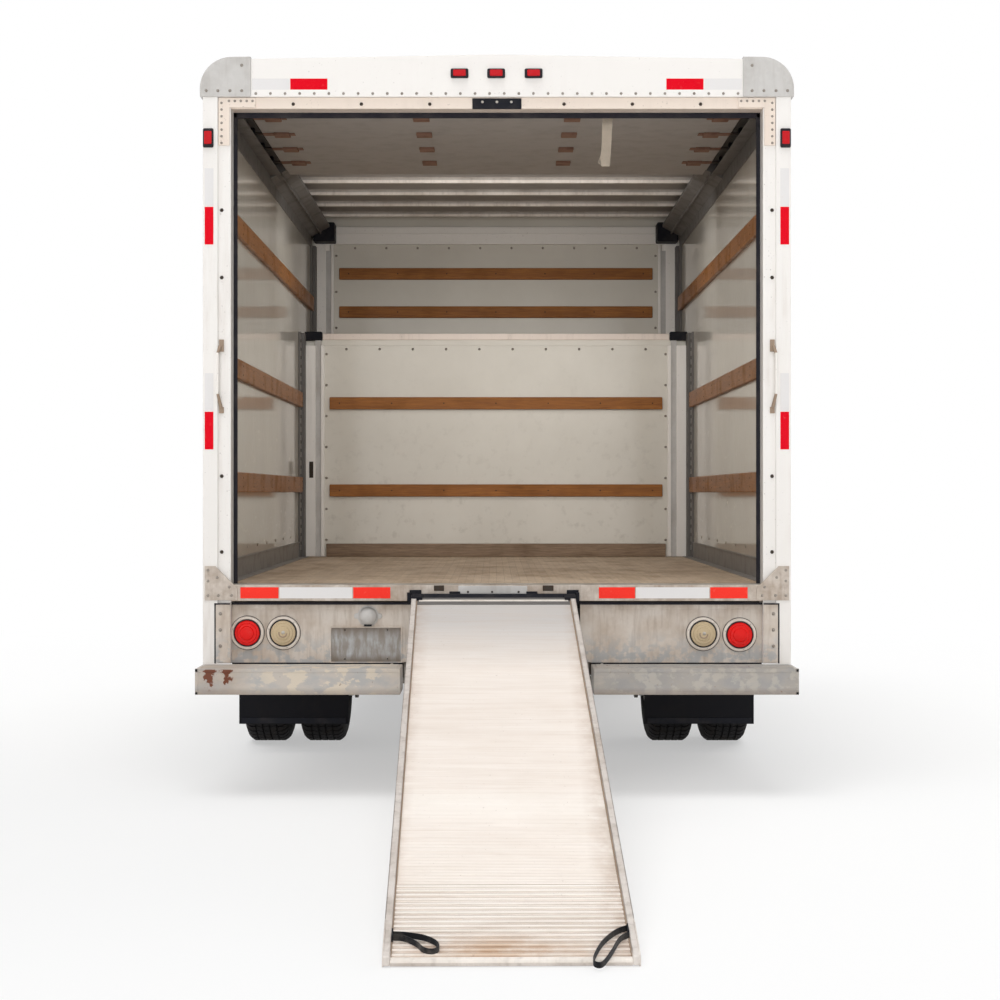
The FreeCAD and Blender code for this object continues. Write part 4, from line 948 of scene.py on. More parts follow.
class TRUCK_OT_stage(bpy.types.Operator):
    """Pale floor, soft light and the camera behind the open door"""
    bl_idname = "truck.stage"
    bl_label = "Stage"

    def execute(self, context):
        settings = context.scene.truck_stage
        self.add_floor()
        self.light_world(settings)
        self.add_lights(settings)
        camera = linked("Camera", bpy.data.cameras.new("Camera"))
        camera.data.lens = settings.lens
        camera.data.sensor_width = 36
        camera.data.shift_x = 0.006
        camera.data.shift_y = -0.007
        camera.data.clip_end = 200
        camera.location = (-0.012, REAR - settings.distance, settings.eye_height)
        camera.rotation_euler = (math.radians(90), 0, 0)
        context.scene.camera = camera
        context.scene.view_settings.view_transform = "Standard"
        return {"FINISHED"}

    @staticmethod
    def add_floor():
        """A wide sheet: shadows near the truck, white far off, and not seen from below."""
        reach = 60
        mesh = bpy.data.meshes.new("floor")
        mesh.from_pydata([(-reach, -reach, 0), (reach, -reach, 0), (reach, reach, 0),
                          (-reach, reach, 0)], [], [(0, 1, 2, 3)])
        new = Finish("Studio floor", "#F4F3F1", 0.9)
        glow = new.node("ShaderNodeEmission", {"Color": shade("#FFFFFF"), "Strength": 1.0})
        rays = new.node("ShaderNodeLightPath").outputs
        direct = new.math("MAXIMUM", rays["Is Camera Ray"], rays["Is Glossy Ray"])
        white = new.between(new.distance(new.place, (0, 0, 0)), 3.0, 9.0, 0.45)
        lit = new.node("ShaderNodeMixShader", {0: new.times(white, direct),
                                               1: new.shader.outputs[0], 2: glow.outputs[0]})
        clear = new.node("ShaderNodeBsdfTransparent")
        below = new.node("ShaderNodeNewGeometry").outputs["Backfacing"]
        ground = new.node("ShaderNodeMixShader", {0: below, 1: lit.outputs[0], 2: clear.outputs[0]})
        new.tree.links.new(ground.outputs[0], new.tree.nodes["Material Output"].inputs["Surface"])
        mesh.materials.append(new.material)
        linked("floor", mesh)

    @staticmethod
    def light_world(settings):
        """Faint light from all round, in front of a white backdrop."""
        world = bpy.data.worlds.new("Studio")
        bpy.context.scene.world = world
        world.use_nodes = True
        tree = world.node_tree
        tree.nodes.clear()
        rays = add_node(tree, "ShaderNodeLightPath").outputs
        shown = rays["Is Camera Ray"]
        for other in ("Is Glossy Ray", "Is Transmission Ray"):
            shown = add_node(tree, "ShaderNodeMath", {0: shown, 1: rays[other]},
                             operation="MAXIMUM").outputs[0]
        light, white = (add_node(tree, "ShaderNodeBackground",
                                 {"Color": shade(code), "Strength": strength})
                        for code, strength in (("#F7FAFF", settings.fill), ("#FFFFFF", 1.0)))
        mix = add_node(tree, "ShaderNodeMixShader", {0: shown, 1: light.outputs[0],
                                                     2: white.outputs[0]})
        add_node(tree, "ShaderNodeOutputWorld", {"Surface": mix.outputs[0]})

    @staticmethod
    def add_lights(settings):
        """Soft light from behind the camera, above and the front, and two load space lamps."""
        for name, way, strength, spread in (("Key", (0.04, 1.0, 0.02), settings.key, 28),
                                            ("Top", (0.15, 0.3, -1.0), 1.75, 50),
                                            ("Front", (-0.6, -1.0, -0.55), 0.9, 40)):
            light = bpy.data.lights.new(name, "SUN")
            light.energy = strength
            light.angle = math.radians(spread)
            aimed(name, light, way)
        below_door = HEADER_DROP - 0.09
        for name, size, share, forward, way in (("Inside", (1.9, 2.6), 1.0, 1.7, (0, 0, -1)),
                                                ("Attic", (1.7, 0.4), 0.45, 2.3, (0, 1, -0.25))):
            light = bpy.data.lights.new(name, "AREA")
            light.shape = "RECTANGLE"
            light.size, light.size_y = size
            light.energy = settings.inside * share
            lamp = aimed(name, light, way, (0, REAR + forward, below_door))
            lamp.visible_camera = lamp.visible_transmission = False


# ---- rear frame ----
class TRUCK_OT_rear_frame(bpy.types.Operator):
    """Posts, header, corner caps, tapes, marker lamps and their fixings round the open door"""
    bl_idname = "truck.rear_frame"
    bl_label = "Rear frame"

    def execute(self, context):
        refined("rear_frame", "enamel", 0.003,
                [("panel", lambda middle, normal: DECK - 0.07 < middle.z < DECK + 0.002
                  and abs(middle.x) < OPENING)])
        refined("corner_caps", "cap", 0.003)
        self.door_header()
        self.tapes()
        self.marker_lamps()
        self.fixings(context.scene.truck_sizes.seam_pitch)
        self.brackets()
        self.grab_handles()
        self.gussets()
        self.weatherstrip()
        return {"FINISHED"}

    @staticmethod
    def door_header():
        """The strip under the header, its bolts, and the lock plate in its middle."""
        front = low("door_header").y + 0.006
        block("door_header_strip", (-OPENING, front, HEADER_DROP),
              (OPENING, front + 0.108, HEADER_FOOT), "strip", edge=0.002,
              stands_for=["door_header"])
        half = 0.102
        block("lock_plate", (-half, front - 0.005, HEADER_DROP - 0.002),
              (half, front + 0.001, HEADER_FOOT - 0.004), "black", edge=0.002)
        middle = (HEADER_DROP + HEADER_FOOT) / 2
        heads("lock_plate_rivets", [((x, front - 0.0055, middle + 0.004), BACK)
                                    for x in (-0.06, 0.0, 0.06)], "bright", 0.006)
        places = [side * x for x in (0.279, 0.563, 0.846, 1.068) for side in SIDES]
        heads("header_bolts", [((x, front, middle - 0.004), BACK) for x in places], "dark_bolt",
              0.008, 0.006, 6)

    @staticmethod
    def tapes():
        """Red and white tape on the header, posts and sill."""
        red, white, faded = blanks(3)

        def stick(shape, x, z):
            add_block(shape, (x[0], REAR - 0.0012, z[0]), (x[1], REAR + 0.0005, z[1]))
        header = (HEADER_FOOT + 0.028, HEADER_FOOT + 0.076)
        sill = (DECK - 0.055, DECK - 0.009)
        for side in SIDES:
            stick(red, (side * 0.703, side * 0.857), header)
            stick(white, (side * 0.861, side * 1.016), header)
            for start, shape in ((2.266, red), (2.426, white), (1.416, red), (1.576, white)):
                stick(shape, (side * 1.176, side * 1.212), (start, start + 0.156))
        for start, end, shape in ((-1.064, -0.906, faded), (-0.902, -0.6, white),
                                  (-0.596, -0.442, faded), (0.423, 0.573, faded),
                                  (0.577, 0.881, white), (0.885, 1.04, faded)):
            stick(shape, (start, end), sill)
        keep("sill_tapes", faded, "faded_tape")
        keep("red_tapes", red, "red_tape")
        keep("white_tapes", white, "white_tape")

    @staticmethod
    def marker_lamps():
        """Small red lamps in black rims: three on the header and one on each post."""
        rims, lenses = blanks(2)
        lamps = [(x, HEADER_FOOT + 0.097, 0.037, 0.02) for x in (-0.155, -0.003, 0.152)]
        lamps += [(side * 1.197, HEADER_FOOT - 0.171, 0.022, 0.04) for side in SIDES]
        for x, z, wide, tall in lamps:
            add_block(rims, (x - wide, REAR - 0.012, z - tall), (x + wide, REAR + 0.001, z + tall))
            wide, tall = wide * 0.72, tall * 0.68
            add_block(lenses, (x - wide, REAR - 0.022, z - tall), (x + wide, REAR - 0.01, z + tall))
        keep("marker_rims", rims, "rubber", edge=0.006)
        keep("marker_lenses", lenses, "marker_lens", edge=0.005)

    @staticmethod
    def fixings(pitch):
        """Rivets along the header's flange, bolts down the jambs and rivets on the corner caps."""
        front = REAR - 0.0015
        block("header_flange", (-1.02, front, HEADER_FOOT + 0.002),
              (1.02, REAR + 0.001, HEADER_FOOT + 0.03), "enamel", edge=0.0006)
        line = HEADER_FOOT + 0.014
        heads("header_rivets", studs((-1.0, front, line), (1.0, front, line), pitch, BACK), "zinc",
              0.006)
        heads("jamb_bolts", [((side * 1.143, JAMB, z), BACK) for side in SIDES
                             for z in (2.41, 2.13, 1.86, 1.58, 1.305, 0.99)], "dark_bolt", 0.0085,
              0.007, 6)
        face = low("corner_caps").y
        heads("cap_rivets", [((side * x, face, HEADER_FOOT + up), BACK) for side in SIDES
                             for x, up in ((1.205, 0.025), (1.157, 0.025), (1.107, 0.025),
                                           (1.058, 0.025), (1.058, 0.13))], "zinc", 0.0065)

    @staticmethod
    def brackets():
        """Riveted plates in the opening's upper corners, along the header and down each jamb."""
        plates, rivets = bmesh.new(), []
        face = JAMB - 0.008
        for side in SIDES:
            add_slab(plates, [(side * 1.156, HEADER_FOOT - 0.002),
                              (side * 1.002, HEADER_FOOT - 0.002),
                              (side * 1.002, HEADER_DROP + 0.004),
                              (side * 1.11, HEADER_DROP + 0.004), (side * 1.11, HEADER_FOOT - 0.2),
                              (side * 1.156, HEADER_FOOT - 0.2)], "y", face, JAMB + 0.001)
            rivets += studs((side * 1.143, face, HEADER_FOOT - 0.024),
                            (side * 1.143, face, HEADER_FOOT - 0.19), 0.028, BACK)
            rivets += studs((side * 1.112, face, HEADER_FOOT - 0.016),
                            (side * 1.014, face, HEADER_FOOT - 0.016), 0.025, BACK)
        keep("header_brackets", plates, "strip", edge=0.0015)
        heads("header_bracket_rivets", rivets, "zinc", 0.0055)

    @staticmethod
    def gussets():
        """Folded plates that tie each post to the sill."""
        plates, rivets = bmesh.new(), []
        front = REAR - 0.005
        for side in SIDES:
            outline = ((1.212, 0.79), (1.076, 0.79), (1.076, 0.84), (1.168, 0.932), (1.212, 0.932))
            add_slab(plates, [(side * x, z) for x, z in outline], "y", front, REAR + 0.001)
            rivets += [((side * x, front, z), BACK)
                       for x, z in ((1.198, 0.915), (1.198, 0.87), (1.198, 0.81), (1.155, 0.81),
                                    (1.1, 0.81), (1.16, 0.885), (1.11, 0.845))]
        keep("sill_gussets", plates, "panel", edge=0.0015)
        heads("gusset_rivets", rivets, "zinc", 0.006)

    @staticmethod
    def grab_handles():
        """A rod between two worn lugs on each jamb, at hand height, a little off its bolts."""
        lugs, rods = blanks(2)
        rod, lug = JAMB - 0.03, JAMB - 0.006
        for foot, top in ((1.566, 1.592), (1.822, 1.872)):
            add_pair(lugs, (1.134, JAMB - 0.009, foot), (1.153, JAMB + 0.001, top))
        for side in SIDES:
            x = side * 1.1565
            add_rod(lugs, (side * 1.145, lug, 1.588), (x, rod, 1.65), 0.0075, 12, 0.0055)
            add_rod(lugs, (side * 1.148, lug, 1.845), (x, rod, 1.812), 0.0075, 12, 0.0055)
            add_rod(rods, (x, rod, 1.645), (x, rod, 1.816), 0.0056, 12)
        keep("grab_handle_lugs", lugs, "grime", edge=0.001)
        keep("grab_handle_rods", rods, "post")

    @staticmethod
    def weatherstrip():
        """Rubber wiper seals round the opening, behind the jamb."""
        seals = bmesh.new()
        start, end = REAR + 0.1, REAR + 0.112
        add_pair(seals, (OPENING - 0.016, start, DECK + 0.002), (OPENING + 0.001, end, HEADER_DROP))
        add_block(seals, (-OPENING, start, HEADER_DROP - 0.022),
                  (OPENING, end, HEADER_DROP + 0.001))
        keep("door_seals", seals, "rubber", edge=0.002)


# ---- tail ----
class TRUCK_OT_tail(bpy.types.Operator):
    """Tail panel, lamps, step bumper and the sill's fittings"""
    bl_idname = "truck.tail"
    bl_label = "Tail"

    def execute(self, context):
        refined("tail_panel", "panel", 0.0015,
                [("recess", lambda middle, normal: normal.y < -0.5
                  and PANEL - 0.008 < middle.y < PANEL - 0.004)])
        self.panel_fixings()
        self.lamps()
        self.bulbs()
        self.plate_lamp()
        self.bumper()
        self.sill_fittings()
        return {"FINISHED"}

    @staticmethod
    def panel_fixings():
        """Folded edges round each half of the tail panel, their rivets, and strips of painted shade
        in the gaps beside them and behind the panel's foot.
        """
        returns, shade_strips = blanks(2)
        foot, top = low("tail_panel").z, high("tail_panel").z
        inner, skin = 0.347, REAR - 0.0012
        add_pair(returns, (OPENING - 0.05, PANEL - 0.003, foot + 0.01),
                 (OPENING, PANEL + 0.001, top - 0.002))
        add_pair(returns, (OPENING, skin, foot + 0.004),
                 (OPENING + 0.062, REAR + 0.002, top - 0.006))
        add_pair(returns, (inner, PANEL - 0.001, foot + 0.002), (0.4, PANEL + 0.002, top - 0.002))
        add_pair(returns, (0.395, PANEL - 0.002, top - 0.03), (OPENING, PANEL + 0.001, top - 0.002))
        keep("panel_returns", returns, "panel", edge=0.001)
        heads("panel_rivets", [((side * (OPENING + 0.042), skin, z), BACK) for side in SIDES
                               for z in (0.6, 0.667, 0.734)], "zinc", 0.0075)
        # Dark strips of painted shade: lines along the extensions' outer edges and under the sill,
        # and a sheet behind the panel's foot.
        shown, outer = REAR - 0.0014, OPENING + 0.067
        add_pair(shade_strips, (OPENING + 0.061, shown, foot), (outer, REAR + 0.001, top - 0.002))
        add_pair(shade_strips, (OPENING + 0.001, shown, top - 0.006), (outer, REAR + 0.001, top))
        add_pair(shade_strips, (inner, REAR + 0.03, top - 0.008), (OPENING, REAR + 0.046, top + 0.001))
        add_pair(shade_strips, (0.395, PANEL + 0.002, foot - 0.014), (OPENING, PANEL + 0.006, foot + 0.01))
        keep("panel_gaps", shade_strips, "rubber")

    @staticmethod
    def lamps():
        """Round lamps with a plated rim and a stepped lens."""
        rims, grommets, red, clear = blanks(4)
        screws = []
        for x, z, lens_shape in ((-1.04, 0.652, red), (-0.89, 0.652, clear), (0.86, 0.648, clear),
                                 (1.012, 0.644, red)):
            centre = Vector((x, PANEL, z))
            for shape, profile in (
                    (rims, [(0.0, 0.056), (0.0, 0.07), (0.009, 0.069), (0.013, 0.065),
                            (0.0135, 0.06), (0.009, 0.056)]),
                    (grommets, [(0.0, 0.048), (0.0, 0.072), (0.003, 0.0718), (0.004, 0.056),
                                (0.0125, 0.0565), (0.0125, 0.0525), (0.006, 0.048)]),
                    (lens_shape, [(0.002, 0.0), (0.002, 0.051), (0.013, 0.0518), (0.018, 0.049),
                                  (0.0185, 0.042), (0.023, 0.04), (0.0235, 0.029), (0.028, 0.027),
                                  (0.0305, 0.012), (0.031, 0.0)])):
                add_lathe(shape, profile, centre, BACK, 64)
            screws += [(centre + round_way(turn) * 0.0625 + BACK * 0.0132, BACK)
                       for turn in (45, 165, 285)]
        keep("lamp_rims", rims, "lamp_rim", sharp=50, stands_for=["tail_lamps"])
        keep("lamp_grommets", grommets, "rubber", sharp=50)
        keep("red_lamp_lenses", red, "red_lens", sharp=25)
        keep("clear_lamp_lenses", clear, "clear_lens", sharp=25)
        heads("lamp_screws", screws, "bright", 0.003)

    @staticmethod
    def bulbs():
        """What shows through the clear lenses: a bulb over the lower half of its holder's ring."""
        holders, bulbs = bmesh.new(), []
        for x, z in ((-0.89, 0.652), (0.86, 0.648)):
            centre = Vector((x, PANEL - 0.0305, z))
            arc = [centre + round_way(160 + 20 * step) * 0.016 for step in range(11)]
            for start, end in zip(arc, arc[1:]):
                add_rod(holders, start, end, 0.0022, 8)
            bulbs.append((centre + Vector((0.002, -0.0005, 0.003)), BACK))
        keep("bulb_holders", holders, "grime")
        heads("lamp_bulbs", bulbs, "bright", 0.0075, 0.003, 16)

    @staticmethod
    def plate_lamp():
        """The hooded lamp over the plate recess, its screws and its mouth."""
        lamp = bmesh.new()
        centre = Vector((-0.537, PANEL, 0.722))
        add_lathe(lamp, [(0.0, 0.0), (0.0, 0.044), (0.004, 0.044), (0.006, 0.038), (0.016, 0.037),
                         (0.027, 0.03), (0.034, 0.017), (0.036, 0.0)], centre, BACK, 40)
        for side in SIDES:
            add_lathe(lamp, [(0.0, 0.0), (0.0, 0.012), (0.004, 0.011), (0.006, 0.0)],
                      centre + Vector((side * 0.047, 0, 0)), BACK, 16)
        keep("plate_lamp", lamp, "cap", sharp=40)
        block("plate_lamp_mouth", centre + Vector((-0.016, -0.022, -0.0415)),
              centre + Vector((0.016, -0.004, -0.034)), "black", edge=0.002)

    @staticmethod
    def bumper():
        """Two halves of the step bumper: a folded channel with a ribbed tread."""
        refined("rear_bumper", "bumper", 0.004)
        inner, outer = 0.39, high("rear_bumper").x
        top, back, foot = low("tail_panel").z - 0.003, low("rear_bumper").y, low("rear_bumper").z
        for name, side in NAMED_SIDES:
            bars("bumper_tread_" + name, 7, (side * (inner + outer) / 2, back + 0.028,
                                             top + 0.0005), (0, 0.026, 0),
                 (outer - inner - 0.03, 0.006, 0.005), "bumper", 0.0015)
        folds = bmesh.new()
        for start, end in ((top - 0.014, top + 0.0012), (foot, foot + 0.012)):
            add_pair(folds, (inner + 0.002, back - 0.002, start), (outer, back + 0.004, end))
        add_pair(folds, (outer - 0.012, back - 0.002, foot), (outer, back + 0.003, top))
        keep("bumper_folds", folds, "bumper", edge=0.0015)

    @staticmethod
    def sill_fittings():
        """Worn plate in the middle of the sill, the ramp's stops beside it and its end brackets."""
        shapes = {name: bmesh.new() for name in ("bright", "black", "dark_bolt")}
        plates = (("bright", -0.16, 0.126, 0.005, 0.052, 0.003),
                  ("black", -0.197, -0.152, 0.012, 0.062, 0.026),
                  ("black", 0.122, 0.168, 0.012, 0.062, 0.026),
                  ("dark_bolt", -0.261, -0.219, 0.003, 0.024, 0.001),
                  ("dark_bolt", 0.19, 0.235, 0.003, 0.024, 0.001),
                  ("black", -0.362, -0.313, 0.014, 0.078, 0.02),
                  ("black", 0.29, 0.339, 0.014, 0.078, 0.02),
                  ("black", -0.35, 0.33, 0.008, 0.066, 0.05))
        for name, start, end, proud, foot, top in plates:
            add_block(shapes[name], (start, REAR - proud, DECK - foot),
                      (end, REAR + 0.001, DECK - top))
        for name, shape in shapes.items():
            keep("sill_" + name, shape, "cap" if name == "bright" else name, edge=0.0018)
        heads("sill_bolts", [((x, REAR - 0.005, DECK - 0.028), BACK) for x in (-0.12, -0.02, 0.09)],
              "dark_bolt", 0.005, 0.003, 6)


# ---- load space ----
SIDE_SLATS = (1.284, 1.79, 2.43)
FRONT_SLATS = (1.25, 1.774)
ATTIC_SLATS = (2.39, 2.634)
SLAT = 0.02                  # thickness of a rub rail
SLAT_REACH = 1.0
DOOR_SECTION = 0.4           # depth of one section of the stowed door
BOW_PITCH = 0.46
ROOF_SEAM_PITCH = 0.92


def facing(axis, limit):
    """Test for faces that look more than limit along an axis, or less than a negative limit."""
    return lambda middle, normal: normal[axis] / limit > 1


class TRUCK_OT_load_space(bpy.types.Operator):
    """Walls, slats, posts, floor, roof bows and the stowed door, as seen through the open rear"""
    bl_idname = "truck.load_space"
    bl_label = "Load space"

    def execute(self, context):
        for name, _ in NAMED_SIDES[::-1]:
            refined("cargo_wall_" + name, "enamel", 0.002,
                    [("liner", lambda middle, normal: abs(middle.x) < INSIDE + 0.002)])
        refined("cargo_front_wall", "enamel", 0.002, [("liner", facing(1, -0.9))])
        refined("attic_front", "enamel", 0.0, [("liner", facing(1, -0.9))])
        refined("attic_floor", "enamel", 0.002, [("liner", facing(1, -0.5)),
                                                 ("floor", facing(2, 0.9))])
        refined("cargo_floor", "floor", 0.001)
        self.roof()
        self.side_rails()
        self.slats()
        self.posts()
        self.front_rails()
        self.wall_fixings()
        self.scuff()
        self.stowed_door()
        self.strap()
        return {"FINISHED"}

    @staticmethod
    def roof():
        """Outer skin, ceiling and the rolled bows below it, with strips of painted highlight on the
        bows' lower edges.
        """
        corner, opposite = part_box("roof")
        under = opposite.z - 0.035
        skin = bmesh.new()
        add_block(skin, (corner.x, corner.y, under), opposite)
        mesh = rounded("roof_skin", as_mesh("roof_skin", skin), 0.002)
        dress(mesh, "roof", [("ceiling", facing(2, -0.5))])
        keep("roof_skin", mesh, "roof", stands_for=["roof"])
        first, wide = REAR + 0.6525, opposite.x - corner.x - 0.004
        # The third row is thin strips of painted highlight along each bow's lower rear edge.
        for name, ahead, below, deep, tall, finish, edge in (
                ("roof_bows", 0.0, 0.015, 0.04, 0.03, "bows", 0.007),
                ("bow_flanges", 0.0, 0.0015, 0.085, 0.003, "bows", 0.001),
                ("bow_lips", -0.022, 0.022, 0.006, 0.016, "lip", 0.0015)):
            bars(name, 9, (0, first + ahead, under - below), (0, BOW_PITCH, 0), (wide, deep, tall),
                 finish, edge)
        bars("roof_seams", 4, (0, REAR + 1.07, opposite.z + 0.001), (0, ROOF_SEAM_PITCH, 0),
             (wide + 0.05, 0.03, 0.003), "roof", 0.001)

    @staticmethod
    def side_rails():
        """Coved rails under the ceiling's edges, a dark cheek of track and painted shade along each
        wall's top, and blocks at their front ends and the ledge's.
        """
        refined("top_rails", "enamel", 0.002,
                [("cove", lambda middle, normal: abs(middle.x) < INSIDE + 0.001
                  or normal.z < -0.3)])
        blocks, rails = blanks(2)
        add_pair(blocks, (1.018, ATTIC_WALL - 0.16, 2.824), (1.153, ATTIC_WALL - 0.001, 2.945))
        add_pair(blocks, (1.043, FRONT_WALL - 0.03, ATTIC_DECK - 0.04),
                 (1.15, FRONT_WALL + 0.02, ATTIC_DECK + 0.014))
        keep("corner_blocks", blocks, "black", edge=0.008)
        start, end = REAR + 2.02, ATTIC_WALL - 0.162
        # The first pair is a thin dark cheek on each wall's top: the track, and painted shade below
        # the ceiling's edge.
        add_pair(rails, (INSIDE - 0.005, REAR + 0.19, 2.79), (INSIDE, ATTIC_WALL - 0.16, 2.934))
        add_pair(rails, (INSIDE - 0.068, start, 2.868), (INSIDE - 0.06, end, 2.89))
        for side in SIDES:
            add_slab(rails, [(side * INSIDE, 2.85), (side * (INSIDE - 0.12), 2.912),
                             (side * (INSIDE - 0.12), 2.93), (side * INSIDE, 2.93)], "y", start,
                     end)
        keep("side_rails", rails, "cove", edge=0.002)

    @staticmethod
    def slats():
        """Wooden rub rails with rounded edges, screwed to the walls."""
        along, across = blanks(2)
        screws = []
        start, end = low("wall_slats").y, FRONT_WALL - 0.09
        face = INSIDE - SLAT
        for z in SIDE_SLATS:
            add_pair(along, (face, start, z - 0.045), (INSIDE, end, z + 0.045))
            for side in SIDES:
                for place in row((side * face, start + 0.06, z), (side * face, end - 0.06, z), 0.4):
                    screws += [(place + Vector((0, 0, 0.02 * up)), Vector((-side, 0, 0)))
                               for up in SIDES]
        add_pair(along, (face, end - 0.01, 2.385), (INSIDE, ATTIC_WALL - 0.13, 2.475))
        for heights, wall in ((FRONT_SLATS, FRONT_WALL), (ATTIC_SLATS, ATTIC_WALL)):
            for z in heights:
                add_block(across, (-SLAT_REACH, wall - SLAT, z - 0.037),
                          (SLAT_REACH, wall, z + 0.037))
                reach = SLAT_REACH - 0.06
                screws += studs((-reach, wall - SLAT, z), (reach, wall - SLAT, z), 0.31, BACK)
        keep("side_slats", along, "slat_along", edge=0.005, stands_for=["wall_slats"])
        keep("front_slats", across, "slat_across", edge=0.005)
        heads("slat_screws", screws, "dark_bolt", 0.0045, 0.0015, 8)

    @staticmethod
    def posts():
        """Pressed posts that frame the front walls, the slotted posts beside them, and painted
        shade in the posts' grooves, gaps and latch slot.
        """
        refined("corner_posts", "post", 0.004)
        beads, slotted, shade_strips = blanks(3)
        for wall, foot, top in ((FRONT_WALL, DECK, ATTIC_DECK - 0.07),
                                (ATTIC_WALL, ATTIC_DECK, 2.82)):
            add_pair(beads, (1.083, wall - 0.036, foot + 0.001), (1.158, wall - 0.02, top))
            add_pair(beads, (1.034, wall - 0.032, foot + 0.001), (1.051, wall - 0.02, top))
        for wall, foot, top in ((FRONT_WALL, DECK, ATTIC_DECK), (ATTIC_WALL, ATTIC_DECK, 2.8)):
            add_pair(slotted, (INSIDE - 0.012, wall - 0.2, foot), (INSIDE, wall - 0.13, top))
            add_pair(slotted, (INSIDE - 0.03, wall - 0.12, foot), (INSIDE, wall - 0.005, top))
            # Grey strips of painted shade, standing for the grooves beside the beads.
            add_pair(shade_strips, (1.05, wall - 0.024, foot + 0.002), (1.084, wall - 0.01, top - 0.02))
        keep("post_beads", beads, "post", edge=0.003)
        # The slotted posts' dark grey is partly painted shade of the gap beside the front post.
        keep("slotted_posts", slotted, "cove", edge=0.003)
        keep("post_gaps", shade_strips, "cap")
        # A dark plate of painted shade where the latch slot is.
        block("post_latch_slot", (-1.12, FRONT_WALL - 0.0368, 1.326),
              (-1.096, FRONT_WALL - 0.035, 1.423), "dark_bolt")
        for name, side in NAMED_SIDES:
            bars("post_slots_" + name, 26, (side * (INSIDE - 0.0125), FRONT_WALL - 0.165,
                                            DECK + 0.06), (0, 0, 0.05), (0.002, 0.02, 0.03),
                 "bright")

    @staticmethod
    def front_rails():
        """Folded rail over the attic's front wall, and the rail along the ledge."""
        top_rail = bmesh.new()
        for start, end, proud in ((2.826, 2.93, 0.026), (2.82, 2.83, 0.034), (2.884, 2.89, 0.031)):
            add_block(top_rail, (-1.02, ATTIC_WALL - proud, start), (1.02, ATTIC_WALL - 0.012, end))
        keep("attic_top_rail", top_rail, "post", edge=0.002)
        block("ledge_rail", (-1.043, FRONT_WALL - 0.006, ATTIC_DECK - 0.035),
              (1.043, FRONT_WALL + 0.01, ATTIC_DECK + 0.003), "ledge", edge=0.003)

    @staticmethod
    def wall_fixings():
        """Rivets that hold the liner."""
        rivets = []
        for z, wall in ((ATTIC_DECK - 0.09, FRONT_WALL), (2.8, ATTIC_WALL)):
            rivets += studs((-0.9, wall, z), (0.9, wall, z), 0.2, BACK)
        for side in SIDES:
            x = side * 1.02
            rivets += studs((x, FRONT_WALL, DECK + 0.1), (x, FRONT_WALL, ATTIC_DECK - 0.12), 0.2,
                            BACK)
            rivets += studs((x, ATTIC_WALL, ATTIC_DECK + 0.1), (x, ATTIC_WALL, 2.75), 0.2, BACK)
            rivets += studs((side * INSIDE, REAR + 0.3, DECK + 0.13),
                            (side * INSIDE, FRONT_WALL - 0.25, DECK + 0.13), 0.4, (-side, 0, 0))
        heads("liner_rivets", rivets, "zinc", 0.008, 0.0035, 10)

    @staticmethod
    def scuff():
        """Steel scuff plates at the walls' feet, the wooden kick board and the sill's tread."""
        plates = bmesh.new()
        start, end, top = REAR + 0.33, FRONT_WALL - 0.03, high("scuff_plates").z
        for inward, foot, head in ((0.004, DECK, top), (0.007, top - 0.008, top),
                                   (0.05, DECK, DECK + 0.003)):
            add_pair(plates, (INSIDE - inward, start, foot), (INSIDE, end, head))
        keep("side_scuff_plates", plates, "scuff", edge=0.0012)
        block("kick_board", (-1.02, FRONT_WALL - 0.018, DECK), (1.02, FRONT_WALL, DECK + 0.078),
              "kick", edge=0.004, stands_for=["scuff_plates"])
        block("sill_plate", (-OPENING, REAR + 0.002, DECK - 0.001),
              (OPENING, REAR + 0.135, DECK + 0.0025), "galvanised", edge=0.001)

    @staticmethod
    def stowed_door():
        """Underside of the raised door: sections, hinges, side brackets, rollers and tracks."""
        refined("door_tracks", "cove", 0.0008)
        half, under, axis = OPENING - 0.022, 2.898, 2.9
        sections, leaves, pins, rollers = blanks(4)
        for index in range(5):
            joint = REAR + 0.18 + DOOR_SECTION * index
            add_block(sections, (-half, joint, under),
                      (half, joint + DOOR_SECTION - 0.0025, under + 0.024))
            if index == 0:
                continue
            for x in (-half + 0.09, -0.335, 0.335, half - 0.09):
                add_block(leaves, (x - 0.036, joint - 0.045, under - 0.012),
                          (x + 0.036, joint + 0.04, under))
            add_pair(leaves, (half - 0.15, joint - 0.03, under - 0.004),
                     (half - 0.002, joint + 0.03, under))
            for side in SIDES:
                add_rod(pins, (side * (half - 0.03), joint, axis),
                        (side * (half + 0.04), joint, axis), 0.006, 12)
                add_lathe(rollers, [(-0.01, 0.006), (-0.01, 0.022), (-0.006, 0.0265),
                                    (0.006, 0.0265), (0.01, 0.022), (0.01, 0.006)],
                          (side * (half + 0.046), joint, axis), (1, 0, 0), 24)
        keep("door_sections", sections, "door", edge=0.002, stands_for=["roll_up_door"])
        keep("door_hinge_leaves", leaves, "rust_plate", edge=0.002)
        keep("door_hinge_pins", pins, "cast")
        keep("door_rollers", rollers, "plastic")

